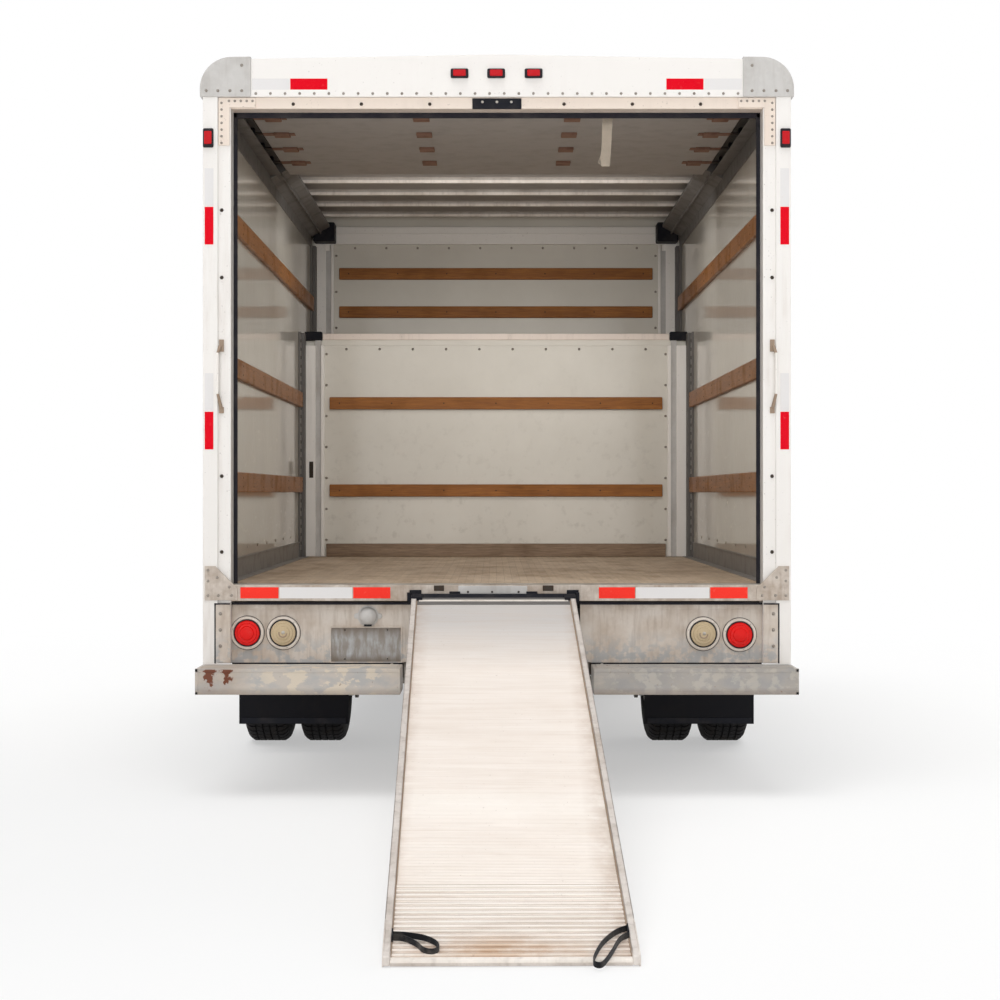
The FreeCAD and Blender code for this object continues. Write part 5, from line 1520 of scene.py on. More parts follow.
    @staticmethod
    def strap():
        """Pull strap: webbing that hangs from the door's bottom rail, folded back at its foot."""
        corner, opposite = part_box("pull_strap")
        x, y = (corner.x + opposite.x) / 2, (corner.y + opposite.y) / 2
        strap, ring = blanks(2)
        drop = opposite.z - corner.z
        hang = [Vector((x + aside, y + back, corner.z + up))
                for aside, back, up in smooth_line([(0.004, 0, drop), (0.002, -0.001, drop - 0.09),
                                                    (-0.003, 0, 0.06), (-0.005, 0.001, 0.004),
                                                    (-0.007, -0.0045, 0.001),
                                                    (-0.012, -0.005, 0.03),
                                                    (-0.009, -0.0035, 0.07)], 6)]
        wide, narrowing = 0.046, 0.018
        add_ribbon(strap, hang, [(wide - narrowing * step / (len(hang) - 1), 0, 0)
                                 for step in range(len(hang))], 0.0026)
        keep("door_strap", strap, "strap", edge=0.0008, stands_for=["pull_strap"])
        block("strap_plate", (x - 0.03, y - 0.004, opposite.z - 0.03),
              (x + 0.03, y + 0.004, opposite.z), "zinc", edge=0.002)
        loop = smooth_line([(x - aside, y - 0.003, corner.z + up)
                            for aside, up in ((0.018, 0.05), (0.03, 0.03), (0.034, 0.012),
                                              (0.026, 0.006), (0.02, 0.02), (0.014, 0.046))], 6)
        add_ribbon(ring, loop, (0, 0.008, 0), 0.0025)
        keep("strap_keeper", ring, "strap")


# ---- ramp ----
RAMP_HALF = 0.3375
RAMP_RAIL = RAMP_HALF - 0.021        # inner face of a side rail
RAMP_DECK = 0.006                    # height of the deck over the hinge's axis
RAMP_FOOT = -RAMP_LENGTH


def ramp_place(x, along, up):
    """A point drawn on a level ramp whose hinge is at the origin, set down on the truck's ramp."""
    hinge = Vector((-0.015, REAR - 0.03, RAMP_TOP))
    turn = Matrix.Rotation(math.radians(0.9), 4, "Z") @ Matrix.Rotation(RAMP_TILT, 4, "X")
    return hinge + turn @ Vector((x, along, up))


def laid(name, shape, finish, edge=0.0, **settings):
    """Keep a shape drawn on the level ramp."""
    mesh = as_mesh(name, shape)
    if edge:
        mesh = rounded(name, mesh, edge)
    for vert in mesh.vertices:
        vert.co = ramp_place(*vert.co)
    return keep(name, mesh, finish, "ramp", **settings)


def laid_block(name, corner, opposite, finish, edge=0.0, **settings):
    shape = bmesh.new()
    add_block(shape, corner, opposite)
    return laid(name, shape, finish, edge, **settings)


class TRUCK_OT_ramp(bpy.types.Operator):
    """Loading ramp: ribbed deck, side rails, foot, hinge claws and webbing handles"""
    bl_idname = "truck.ramp"
    bl_label = "Ramp"

    def execute(self, context):
        top = RAMP_DECK - 0.0012
        laid_block("ramp_deck", (-RAMP_RAIL, RAMP_FOOT + 0.01, -0.002), (RAMP_RAIL, -0.01, top),
                   "ramp", stands_for=["ramp"])
        # The foot grooves are thin dark strips of painted shade between the foot ribs.
        for name, count, start, step, deep, tall, height, finish, edge in (
                ("ramp_fine_ribs", 278, -0.11, -0.0101, 0.0062, 0.0026, top, "ramp", 0.0),
                ("ramp_foot_ribs", 16, RAMP_FOOT + 0.03, 0.0275, 0.012, 0.008, RAMP_DECK + 0.0002,
                 "ramp", 0.0008), ("ramp_foot_grooves", 16, RAMP_FOOT + 0.0395, 0.0275, 0.0065,
                                   0.001, RAMP_DECK + 0.0012, "grime", 0.0008)):
            laid(name, bar_mesh(name, count, (0, start, height), (0, step, 0),
                                (2 * RAMP_RAIL, deep, tall), finish), finish, edge)
        self.rails()
        self.foot()
        self.hinge_end()
        self.handles()
        rivets = [ramp_place(side * RAMP_HALF, -0.12 - 0.2 * step, -0.03) for step in range(15)
                  for side in SIDES]
        heads("ramp_rail_rivets", [(place, Vector((1 if place.x > -0.015 else -1, 0, 0)))
                                   for place in rivets], "zinc", 0.006, body="ramp")
        return {"FINISHED"}

    @staticmethod
    def rails():
        """Channels along both sides, tapered at the foot, lines of painted shade at their inner
        feet, and the bars across below them.
        """
        rails, joints, bars_below = blanks(3)
        taper, under = RAMP_FOOT + 0.33, RAMP_DECK - 0.075
        outline = [(-0.01, 0.018), (-0.01, under), (taper, under)]
        outline += [(RAMP_FOOT + along, up)
                    for along, up in ((0.012, -0.016), (0.002, -0.012), (0.0, -0.004),
                                      (0.002, 0.008), (0.016, 0.018), (0.05, 0.022),
                                      (0.19, 0.022), (0.22, 0.018))]
        for side in SIDES:
            add_slab(rails, outline, "x", side * (RAMP_HALF - 0.004), side * RAMP_HALF)
        foot = RAMP_FOOT + 0.02
        add_pair(rails, (RAMP_RAIL, foot, 0.013), (RAMP_HALF, -0.01, 0.018))
        add_pair(rails, (RAMP_RAIL, taper, under), (RAMP_HALF, -0.01, under + 0.005))
        add_pair(rails, (RAMP_RAIL, foot, -0.004), (RAMP_RAIL + 0.003, -0.01, 0.018))
        # Thin dark strips of painted shade along the rails' inner feet.
        add_pair(joints, (RAMP_RAIL - 0.004, foot, RAMP_DECK),
                 (RAMP_RAIL, -0.02, RAMP_DECK + 0.0046))
        laid("ramp_rails", rails, "rail", 0.0012)
        laid("ramp_rail_joints", joints, "grime")
        for step in range(7):
            along = -0.2 - 0.4 * step
            add_block(bars_below, (-RAMP_RAIL, along - 0.04, -0.04), (RAMP_RAIL, along, -0.001))
        laid("ramp_cross_bars", bars_below, "rail", 0.002)

    @staticmethod
    def foot():
        """Bevelled edge where the deck meets the ground, drawn as painted highlight, the toe under
        it and the rails' ends.
        """
        lip, ends = blanks(2)
        edge = ((0.018, RAMP_DECK + 0.003), (0.004, RAMP_DECK + 0.001), (0.001, RAMP_DECK - 0.004),
                (0.001, -0.001), (0.018, -0.002))
        add_slab(lip, [(RAMP_FOOT + along, up) for along, up in edge], "x", -RAMP_RAIL, RAMP_RAIL)
        # The bevelled edge is drawn in the painted highlight finish.
        laid("ramp_foot", lip, "lip", 0.0015)
        laid_block("ramp_toe", (-RAMP_RAIL, RAMP_FOOT + 0.006, -0.012),
                   (RAMP_RAIL, RAMP_FOOT + 0.06, -0.001), "rail", 0.001)
        add_pair(ends, (RAMP_RAIL - 0.001, RAMP_FOOT + 0.001, -0.011),
                 (RAMP_HALF, RAMP_FOOT + 0.05, 0.019))
        laid("ramp_rail_ends", ends, "rail", 0.006)

    @staticmethod
    def hinge_end():
        """Claws that hook over the hinge bar, the barrel and the worn plate at the deck's top, with
        a line of painted highlight on it.
        """
        claws, barrel = blanks(2)
        add_pair(claws, (RAMP_HALF - 0.045, -0.06, RAMP_DECK), (RAMP_HALF + 0.001, -0.006, 0.023))
        laid("ramp_claws", claws, "black", 0.0025)
        add_rod(barrel, (-RAMP_HALF + 0.03, 0, 0), (RAMP_HALF - 0.03, 0, 0), 0.02, 32)
        laid("ramp_barrel", barrel, "black", 0.0015)
        # The top line is a strip of painted highlight across the worn plate.
        for name, inward, start, end, foot, top, finish in (
                ("ramp_top_plate", 0.002, -0.105, -0.012, -0.002, 0.003, "cove"),
                ("ramp_top_line", 0.01, -0.07, -0.052, 0.002, 0.0055, "lip")):
            half = RAMP_RAIL - inward
            laid_block(name, (-half, start, RAMP_DECK + foot), (half, end, RAMP_DECK + top), finish,
                       0.001)
        refined("ramp_hinge", "black", 0.001)

    @staticmethod
    def handles():
        """Black webbing loops, twisted and flattened by use."""
        loops, tabs = blanks(2)
        left = smooth_line([(-0.316, -3.07, 0.018), (-0.28, -3.078, 0.02), (-0.232, -3.098, 0.022),
                            (-0.2, -3.122, 0.02), (-0.19, -3.147, 0.017), (-0.205, -3.166, 0.016),
                            (-0.23, -3.158, 0.017), (-0.248, -3.13, 0.019), (-0.28, -3.1, 0.02),
                            (-0.316, -3.086, 0.018)], 8)
        right = smooth_line([(0.316, -3.035, 0.018), (0.28, -3.068, 0.02), (0.242, -3.13, 0.021),
                             (0.216, -3.2, 0.017), (0.214, -3.232, 0.014), (0.234, -3.236, 0.014),
                             (0.26, -3.185, 0.018), (0.288, -3.11, 0.02), (0.316, -3.075, 0.018)],
                            8)
        for line in (left, right):
            add_ribbon(loops, line, (0, 0.006, 0.015), 0.003)
        laid("handle_loops", loops, "webbing", 0.0007, stands_for=["ramp_handles"])
        for x, along, inward in ((-0.316, -3.078, 0.004), (0.316, -3.055, -0.004)):
            add_block(tabs, (x, along - 0.022, 0.008), (x + inward, along + 0.022, 0.03))
        laid("handle_tabs", tabs, "black", 0.0012)


# ---- shapes that follow an outline ----
def soft_outline(corners):
    """Points of a closed outline whose corners (u, v, radius) are rounded."""
    steps = 6
    points = []
    for place, (u, v, radius) in enumerate(corners):
        here = Vector((u, v))
        back = (Vector(corners[place - 1][:2]) - here).normalized()
        ahead = (Vector(corners[(place + 1) % len(corners)][:2]) - here).normalized()
        half = back.angle(ahead) / 2
        centre = here + (back + ahead).normalized() * radius / math.sin(half)
        first = here + back * radius / math.tan(half) - centre
        last = here + ahead * radius / math.tan(half) - centre
        sweep = math.atan2(first.x * last.y - first.y * last.x, first.dot(last))
        for step in range(steps + 1):
            angle = math.atan2(first.y, first.x) + sweep * step / steps
            points.append(centre + Vector((math.cos(angle), math.sin(angle))) * radius)
    return points


def soft_box(x, z, radius, top_radius=None):
    """A rounded outline between two values of x and two of z."""
    upper = top_radius or radius
    return soft_outline([(x[0], z[0], radius), (x[1], z[0], radius), (x[1], z[1], upper),
                         (x[0], z[1], upper)])


def add_frame(shape, loop, out, width, top, foot):
    """A band that follows a closed loop: width towards its middle, from foot to top along out."""
    loop = [Vector(point) for point in loop]
    out = Vector(out).normalized()
    middle = sum(loop, Vector()) / len(loop)
    rows = []
    for place, point in enumerate(loop):
        along = (loop[(place + 1) % len(loop)] - loop[place - 1]).normalized()
        inward = out.cross(along)
        if inward.dot(middle - point) < 0:
            inward = -inward
        edge = point + inward * width
        rows.append([shape.verts.new(corner + out * lift)
                     for corner, lift in ((point, top), (edge, top), (edge, foot), (point, foot))])
    add_rows(shape, rows, closed=True)


def add_panel(shape, loop, out, thickness):
    """A flat plate bounded by a closed loop."""
    out = Vector(out).normalized() * thickness
    add_rows(shape, [[shape.verts.new(Vector(point) + lift) for point in loop]
                     for lift in (Vector(), out)])


def pierced(name, mesh, shape):
    """Cut a shape out of a mesh."""
    tool = linked(name + "_tool", as_mesh(name + "_tool", shape))

    def change(holder):
        cut = holder.modifiers.new("Cut", "BOOLEAN")
        cut.operation = "DIFFERENCE"
        cut.solver = "EXACT"
        cut.object = tool
    made = plain_mesh(name, mesh, change)
    bpy.data.objects.remove(tool)
    return made


# ---- wheels ----
TYRE_HALF = 0.1125
RIM = 0.206
HAND_HOLE_CIRCLE = 0.143
NUT_CIRCLE = 0.101
# The side wall of a tyre, bead to shoulder: (in from the widest place, out from the rim).
TYRE_WALL = ((-0.02, 0.0008), (-0.019, 0.016), (-0.007, 0.03), (-0.001, 0.046), (0.0008, 0.058),
             (0.0008, 0.062), (-0.001, 0.064), (0.0, 0.085), (0.0014, 0.0855), (0.0014, 0.0885),
             (0.0, 0.089), (-0.001, 0.104), (-0.005, 0.122), (-0.01, 0.134), (-0.016, 0.143),
             (-0.026, 0.149))


class TRUCK_OT_wheels(bpy.types.Operator):
    """Tyres with grooved tread and beaded walls, pierced steel wheels, nuts and hub caps"""
    bl_idname = "truck.wheels"
    bl_label = "Wheels"

    def execute(self, context):
        blocks = context.scene.truck_sizes.tread_blocks
        for name, side in NAMED_SIDES:
            for axle, body in (("front_tyre_", "front_wheel_"), ("rear_tyres_", "rear_wheels_")):
                node = axle + name
                middle = (low(node) + high(node)) / 2
                offset = (high(node).x - low(node).x) / 2 - TYRE_HALF
                dual = offset > 0.01
                places = [middle + Vector((shift * offset, 0, 0))
                          for shift in SIDES] if dual else [middle]
                self.tyres(node, places, blocks, body + name)
                self.wheel(body + name, middle, side, dual)
        return {"FINISHED"}

    @staticmethod
    def tyres(node, places, blocks, body):
        """The turned carcass, and a ring of tread blocks with three ribs and two shoulders."""
        radius = (high(node).z - low(node).z) / 2
        wall = [(TYRE_HALF + along, RIM + out) for along, out in TYRE_WALL]
        wall.append((TYRE_HALF - 0.043, radius - 0.012))
        carcass, pitch, tread = blanks(3)
        for place in places:
            add_lathe(carcass, wall + [(-along, out) for along, out in reversed(wall)], place,
                      (1, 0, 0), 96)
        keep(node + "_carcass", carcass, "tyre", body, sharp=50, stands_for=[node])
        step = math.pi * radius / blocks * 0.86
        base, top = radius - 0.0125, radius - 0.0006
        for x, wide, slant in ((0.0, 0.013, 0.0), (-0.034, 0.0135, 0.006), (0.034, 0.0135, -0.006)):
            add_slab(pitch, [(x - wide, -step + slant), (x + wide, -step - slant),
                             (x + wide, step - slant), (x - wide, step + slant)], "z", base, top)
        shoulder = ((0.0545, top), (0.073, top), (0.088, radius - 0.01), (0.0985, radius - 0.021),
                    (0.1035, radius - 0.034), (0.097, radius - 0.034), (0.0545, base))
        for side in SIDES:
            add_slab(pitch, [(side * x, out) for x, out in shoulder], "y", -step * 0.82,
                     step * 0.82)
        start = as_mesh(node + "_pitch", pitch)
        for place in places:
            ring = {"Count": blocks, "Centre": tuple(place), "Phase": 0.0,
                    "Finish": FINISHES["tyre"]}
            tread.from_mesh(grown(node, TREES["ring"], ring, start.copy()))
        keep(node + "_tread", tread, "tyre", body)

    @staticmethod
    def wheel(node, middle, side, dual):
        """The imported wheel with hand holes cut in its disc, its nuts and its hub's end."""
        holes, cap = blanks(2)
        nuts = []
        start, end = (0.86, 1.15) if dual else (0.93, 1.02)
        face, end_face = (1.0175, 1.128) if dual else (0.9845, 1.02)
        wide = 0.066 if dual else 0.047

        def spot(x, turn=0.0, reach=0.0):
            angle = math.radians(turn)
            return Vector((side * x, middle.y + reach * math.cos(angle),
                           middle.z + reach * math.sin(angle)))
        for turn in range(0, 360, 45):
            add_rod(holes, spot(start, turn + 22.5, HAND_HOLE_CIRCLE),
                    spot(end, turn + 22.5, HAND_HOLE_CIRCLE), 0.0165, 20)
            nuts.append((spot(face, turn, NUT_CIRCLE), Vector((side, 0, 0))))
        mesh = pierced(node, joined_mesh(node), holes)
        dress(mesh, "wheel")
        keep(node + "_finished", mesh, "wheel", node, sharp=32, stands_for=[node])
        heads(node + "_nuts", nuts, "zinc", 0.0125, 0.017, 6, node)
        add_lathe(cap, [(-0.012, 0.0), (-0.012, wide + 0.004), (0.0, wide + 0.004), (0.003, wide),
                        (0.016, wide - 0.004), (0.022, wide - 0.014), (0.024, 0.0)], spot(end_face),
                  (side, 0, 0), 48)
        keep(node + "_cap", cap, "cast" if dual else "chrome", node, sharp=40)


# ---- running gear ----
class TRUCK_OT_running_gear(bpy.types.Operator):
    """Bolted rails, springs, axle cover, tank straps, exhaust clamps and mud flaps"""
    bl_idname = "truck.running_gear"
    bl_label = "Running gear"

    def execute(self, context):
        refined("chassis_frame", "chassis", 0.002)
        refined("mud_flaps", "flap", 0.002)
        refined("exhaust", "cast", 0.0)
        refined("fuel_tank", "chassis", 0.003)
        middle = Vector((0, REAR + 1.735, (low("rear_axle").z + high("rear_axle").z) / 2))
        self.rails()
        self.springs(middle)
        self.axle(middle)
        self.tank()
        self.pipe()
        self.flaps()
        return {"FINISHED"}

    @staticmethod
    def rails():
        """Bolts along the frame's rails, and the plates that clamp the body to them."""
        bolts, clamps = [], bmesh.new()
        for side in SIDES:
            for start, end, heights in ((0.12, 3.5, (0.6, 0.7)), (4.0, 5.7, (0.52, 0.6))):
                for z in heights:
                    bolts += studs((side * 0.432, REAR + start, z), (side * 0.432, REAR + end, z),
                                   0.22, (side, 0, 0))
        heads("rail_bolts", bolts, "chassis", 0.011, 0.008, 6)
        for forward in (0.55, 1.0, 2.6, 3.3):
            add_pair(
                clamps, (0.428, REAR + forward - 0.03, 0.66), (0.438, REAR + forward + 0.03, 0.79))
        keep("body_clamps", clamps, "chassis", edge=0.002)

    @staticmethod
    def springs(middle):
        """Leaf packs as packed, with bolts, dampers, and coils of wire for the front tubes."""
        axle_y = (low("front_axle").y + high("front_axle").y) / 2
        leaves, bolts, dampers = blanks(3)
        leaves.from_mesh(joined_mesh("springs"))
        front = [vert for vert in leaves.verts if vert.co.y > axle_y - 0.3]
        bmesh.ops.delete(leaves, geom=front, context="VERTS")
        keep("leaf_springs", leaves, "cast", stands_for=["springs"])
        for name, side in NAMED_SIDES:
            made = grown("coil_" + name, TREES["coil"], {
                "Turns": 6.5, "Radius": 0.05, "Height": 0.248, "Wire": 0.0075,
                "Centre": (side * 0.545, axle_y, 0.387), "Finish": FINISHES["cast"]})
            keep("coil_" + name, made, "cast", sharp=80)
        for side in SIDES:
            for x in (0.459, 0.56):
                for shift in (-0.048, 0.048):
                    add_rod(bolts, (side * x, middle.y + shift, middle.z - 0.085),
                            (side * x, middle.y + shift, middle.z + 0.14), 0.0075, 12)
            foot, top = middle + Vector(
                (side * 0.62, -0.1, -0.02)), Vector((side * 0.5, middle.y - 0.34, 0.66))
            waist, eye = foot.lerp(top, 0.5), Vector((0.03, 0, 0))
            for start, end, radius, sides in ((foot, waist, 0.027, 24), (waist, top, 0.034, 24),
                                              (foot - eye, foot + eye, 0.02, 16)):
                add_rod(dampers, start, end, radius, sides)
        add_pair(bolts, (0.447, middle.y - 0.07, middle.z - 0.075),
                 (0.572, middle.y + 0.07, middle.z - 0.058))
        keep("spring_u_bolts", bolts, "zinc")
        keep("dampers", dampers, "chassis", edge=0.0015)

    @staticmethod
    def axle(centre):
        """The rear axle's bolted cover, and brake pipes along both tubes."""
        refined("rear_axle", "cast", 0.0)
        cover, pipes = blanks(2)
        add_lathe(cover, [(0.1, 0.0), (0.1, 0.14), (0.128, 0.14), (0.132, 0.128), (0.15, 0.105),
                          (0.168, 0.06), (0.172, 0.0)], centre, BACK, 48)
        keep("axle_cover", cover, "cast", sharp=30)
        heads("axle_cover_bolts", [(centre + round_way(turn) * 0.131 + BACK * 0.13, BACK)
                                   for turn in range(0, 360, 30)], "dark_bolt", 0.009, 0.008, 6)
        line = smooth_line(
            [centre + Vector(shift) for shift in ((0.03, -0.06, 0.15), (0.2, -0.09, 0.07),
                                                  (0.45, -0.09, 0.06), (0.66, -0.09, 0.06))], 6)
        for side in SIDES:
            for start, end in zip(line, line[1:]):
                add_rod(pipes, (start.x * side, start.y, start.z), (end.x * side, end.y, end.z),
                        0.004, 8)
        keep("brake_pipes", pipes, "zinc")

    @staticmethod
    def tank():
        """Two straps round the fuel tank, and its filler's cap."""
        corner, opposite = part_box("fuel_tank")
        straps, cap = blanks(2)
        margin = 0.0025
        outline = soft_box((corner.x - margin, opposite.x + margin),
                           (corner.z - margin, opposite.z + margin), 0.0725)
        for share in (0.2, 0.8):
            y = corner.y + share * (opposite.y - corner.y)
            add_frame(straps, [(x, y, z) for x, z in outline], (0, 1, 0), margin, 0.022, -0.022)
        keep("tank_straps", straps, "zinc", sharp=50)
        place = Vector((corner.x + 0.03, corner.y + 0.75, opposite.z - 0.07))
        add_rod(cap, place, place + Vector((-0.055, 0, 0.05)), 0.03, 24)
        add_rod(cap, place + Vector((-0.05, 0, 0.046)), place + Vector((-0.075, 0, 0.068)), 0.038,
                12)
        keep("tank_cap", cap, "plastic", edge=0.002)

    @staticmethod
    def pipe():
        """Clamps, end seams and hanger brackets on the exhaust."""
        x, z = 0.56, 0.43
        rings = bmesh.new()
        for forward, radius, wide in ((2.703, 0.0935, 0.012), (3.347, 0.0935, 0.012),
                                      (2.55, 0.034, 0.02), (3.5, 0.034, 0.02)):
            add_lathe(rings, [(-wide, radius - 0.012), (-wide, radius), (wide, radius),
                              (wide, radius - 0.012)], (x, REAR + forward, z), (0, 1, 0), 40)
        for forward in (2.55, 3.5):
            y = REAR + forward
            add_block(rings, (x - 0.012, y - 0.015, z + 0.03), (x + 0.012, y + 0.015, 0.58))
        keep("exhaust_clamps", rings, "zinc", sharp=40)

    @staticmethod
    def flaps():
        """Bolted strips along the heads and feet of the mud flaps."""
        corner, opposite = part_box("mud_flaps")
        plates, bolts = bmesh.new(), []
        face = corner.y - 0.004
        for start, end in ((opposite.z - 0.05, opposite.z - 0.004),
                           (corner.z + 0.004, corner.z + 0.03)):
            add_pair(plates, (0.715, face, start), (opposite.x - 0.012, corner.y, end))
        z = opposite.z - 0.027
        for side in SIDES:
            bolts += studs((side * 0.74, face, z), (side * (opposite.x - 0.04), face, z), 0.11,
                           BACK)
        keep("flap_plates", plates, "black", edge=0.0015)
        heads("flap_bolts", bolts, "zinc", 0.009, 0.006, 6)


# ---- cab ----
HALF_CAB = 1.0
LINING = 0.952               # half the width between the doors' linings
BELT = 1.25                  # height above which the cab's sides lean in
SIDE_OUT = 0.118             # how much the side's way out rises above the belt
SCREEN_OUT = Vector((0, 0.813, 0.583))
NOSE_OUT = Vector((0, 0.9876, 0.1576))
NOSE_SLOPE = 0.1596
ARCH = (5.24, 0.372)         # centre of the front wheel's arch: forward, height
STRIP = (0.87, 0.915)        # foot and top of the side strips


def at(x, forward, z):
    """A point given forward of the rear frame's face."""
    return Vector((x, REAR + forward, z))


def on_screen(x, z, lift=0.0):
    """A point on the windscreen's outer plane, or lifted off it."""
    return at(x, 4.56 + 0.717 * (2.085 - z), z) + SCREEN_OUT * lift


def on_nose(x, z, lift=0.0):
    """A point on the nose's sloping face, or lifted off it."""
    return at(x, 5.9 + NOSE_SLOPE * (1.11 - z), z) + NOSE_OUT * lift


def on_side(side, forward, z, lift=0.0):
    """A point on the door's outer skin, which leans in above the belt."""
    lean = 0.1186 * max(z - BELT, 0.0)
    out = Vector((side, 0, SIDE_OUT if lean else 0.0))
    return at(side * (HALF_CAB - lean), forward, z) + out * lift


def wing_x(forward):
    """Half the width of the wings, which taper towards the nose."""
    bend, straight, radius, taper = 5.42, 5.576, 0.7, 0.2268
    if forward < bend:
        return HALF_CAB
    if forward < straight:
        return HALF_CAB - (forward - bend) ** 2 / (2 * radius)
    return HALF_CAB - taper * (forward - 5.5)


def inner_side(middle, normal):
    """Faces of the cab's skin that look into it."""
    forward = middle.y - REAR
    return ((abs(middle.x) < LINING and normal.x * middle.x < -0.2 and middle.z > 0.5
             and forward < 5.0) or (normal.z < -0.5 and middle.z > 1.9)
            or (normal.y > 0.6 and forward < 3.93) or (normal.y < -0.3 and forward > 4.5
                                                       and middle.z > 1.2))


def arch_lining(middle, normal):
    """Faces of the front wheels' arches, a cylinder round each wheel."""
    forward = middle.y - REAR
    reach = Vector((forward - ARCH[0], middle.z - ARCH[1])).length
    return 4.78 < forward < 5.72 and 0.6 < abs(middle.x) < 0.94 and abs(reach - 0.455) < 0.012


class TRUCK_OT_cab(bpy.types.Operator):
    """Cab body: painted skin, seals, lamps, grille, bumper, mirrors, handles and mouldings"""
    bl_idname = "truck.cab"
    bl_label = "Cab"

    def execute(self, context):
        refined("cab_shell", "cab_enamel", 0.0, [("grey_plastic", inner_side)])
        refined("front_end", "cab_enamel", 0.0, [("plastic", arch_lining)])
        refined("hood", "cab_enamel", 0.0)
        for name, side in NAMED_SIDES:
            refined("cab_door_" + name, "cab_enamel", 0.0,
                    [("grey_plastic", lambda middle, normal: abs(middle.x) < LINING),
                     ("plastic", lambda middle, normal: abs(middle.x) > HALF_CAB + 0.0025)])
            self.door(name, side)
        self.screen()
        self.nose()
        self.headlamps()
        self.attic_lamps()
        self.bumper()
        self.wing_corners()
        self.mouldings()
        return {"FINISHED"}

    @staticmethod
    def door(name, side):
        """Window seal, handle, mirror glass, side strip and the lining inside."""
        body = "cab_door_" + name
        seal, bright, glass, lining = blanks(4)
        outline = soft_outline([(4.065, 1.31, 0.03), (4.735, 1.31, 0.03), (4.545, 1.905, 0.06),
                                (4.065, 1.915, 0.05)])
        add_frame(seal, [on_side(side, forward, z) for forward, z in outline], (side, 0, SIDE_OUT),
                  0.015, 0.0025, -0.046)
        add_block(seal, on_side(side, 4.07, 1.3, 0.004), on_side(side, 4.73, 1.316, -0.02))
        keep("window_seal_" + name, seal, "rubber", body, sharp=50)
        block("handle_cup_" + name, at(side * 0.999, 4.02, 1.14), at(side * 1.004, 4.19, 1.225),
              "plastic", body=body, edge=0.0018)
        add_block(bright, at(side * 1.016, 4.035, 1.178), at(side * 1.028, 4.175, 1.203))
        for forward in (4.035, 4.16):
            add_block(
                bright, at(side * 1.002, forward, 1.181), at(side * 1.02, forward + 0.015, 1.2))
        add_rod(bright, at(side * 1.0, 4.2, 1.12), at(side * 1.006, 4.2, 1.12), 0.012, 24)
        keep("door_handle_" + name, bright, "chrome", body, edge=0.003)
        for foot, top in ((1.338, 1.556), (1.241, 1.322)):
            loop = soft_box((side * 1.135, side * 1.296), (foot, top), 0.014, 0.02)
            add_panel(glass, [at(x, 4.6, z) for x, z in loop], BACK, 0.0025)
        keep("mirror_glass_" + name, glass, "mirror", body, sharp=40)
        for start, end, z in ((4.02, 4.76, 1.0), (4.1, 4.62, 1.13)):
            add_block(lining, at(side * LINING, start, z - 0.12), at(side * 0.938, end, z))
        add_block(lining, at(side * 0.94, 4.12, 1.02), at(side * 0.885, 4.58, 1.06))
        keep("door_lining_" + name, lining, "grey_plastic", body, edge=0.006)
        block("door_strip_" + name, at(side * 0.999, 3.99, STRIP[0]),
              at(side * 1.008, 4.777, STRIP[1]), "plastic", body=body, edge=0.003)

    @staticmethod
    def screen():
        """Seal round the windscreen, and two parked wipers."""
        seal, wipers = blanks(2)
        outline = soft_outline([(-0.82, 1.34, 0.06), (0.82, 1.34, 0.06), (0.725, 1.97, 0.07),
                                (-0.725, 1.97, 0.07)])
        add_frame(seal, [on_screen(x, z) for x, z in outline], SCREEN_OUT, 0.024, 0.003, -0.046)
        keep("windscreen_seal", seal, "rubber", sharp=50)
        for x in (-0.6, 0.05):
            add_lathe(wipers, [(-0.012, 0), (-0.012, 0.018), (0.012, 0.016), (0.02, 0.01),
                               (0.021, 0)], on_screen(x, 1.315), SCREEN_OUT, 24)
            for start, end, radius in (((0, 1.315, 0.014), (0.24, 1.375, 0.012), 0.006),
                                       ((0.24, 1.375, 0.012), (0.36, 1.4, -0.004), 0.0045),
                                       ((0.06, 1.378, -0.013), (0.64, 1.414, -0.013), 0.0065)):
                add_rod(wipers, on_screen(x + start[0], *start[1:]),
                        on_screen(x + end[0], *end[1:]), radius, 12)
            add_block(wipers, on_screen(x + 0.35, 1.392, -0.018), on_screen(x + 0.37, 1.408, 0.0))
        keep("wipers", wipers, "black")

    @staticmethod
    def nose():
        """Plated surround and bars of the grille."""
        surround = bmesh.new()
        outline = soft_box((-0.452, 0.452), (0.738, 1.032), 0.03)
        add_frame(surround, [on_nose(x, z) for x, z in outline], NOSE_OUT, 0.026, 0.007, -0.02)
        keep("grille_surround", surround, "chrome", edge=0.002, sharp=50)
        pitch = 0.0464
        bars("grille_bars", 5, on_nose(0, 0.777, -0.012), (0, -NOSE_SLOPE * pitch, pitch),
             (0.85, 0.014, 0.011), "chrome", 0.003)
        bars("grille_posts", 7, on_nose(-0.3, 0.885, -0.022), (0.1, 0, 0), (0.006, 0.01, 0.24),
             "plastic")
        refined("grille", "plastic", 0.0)

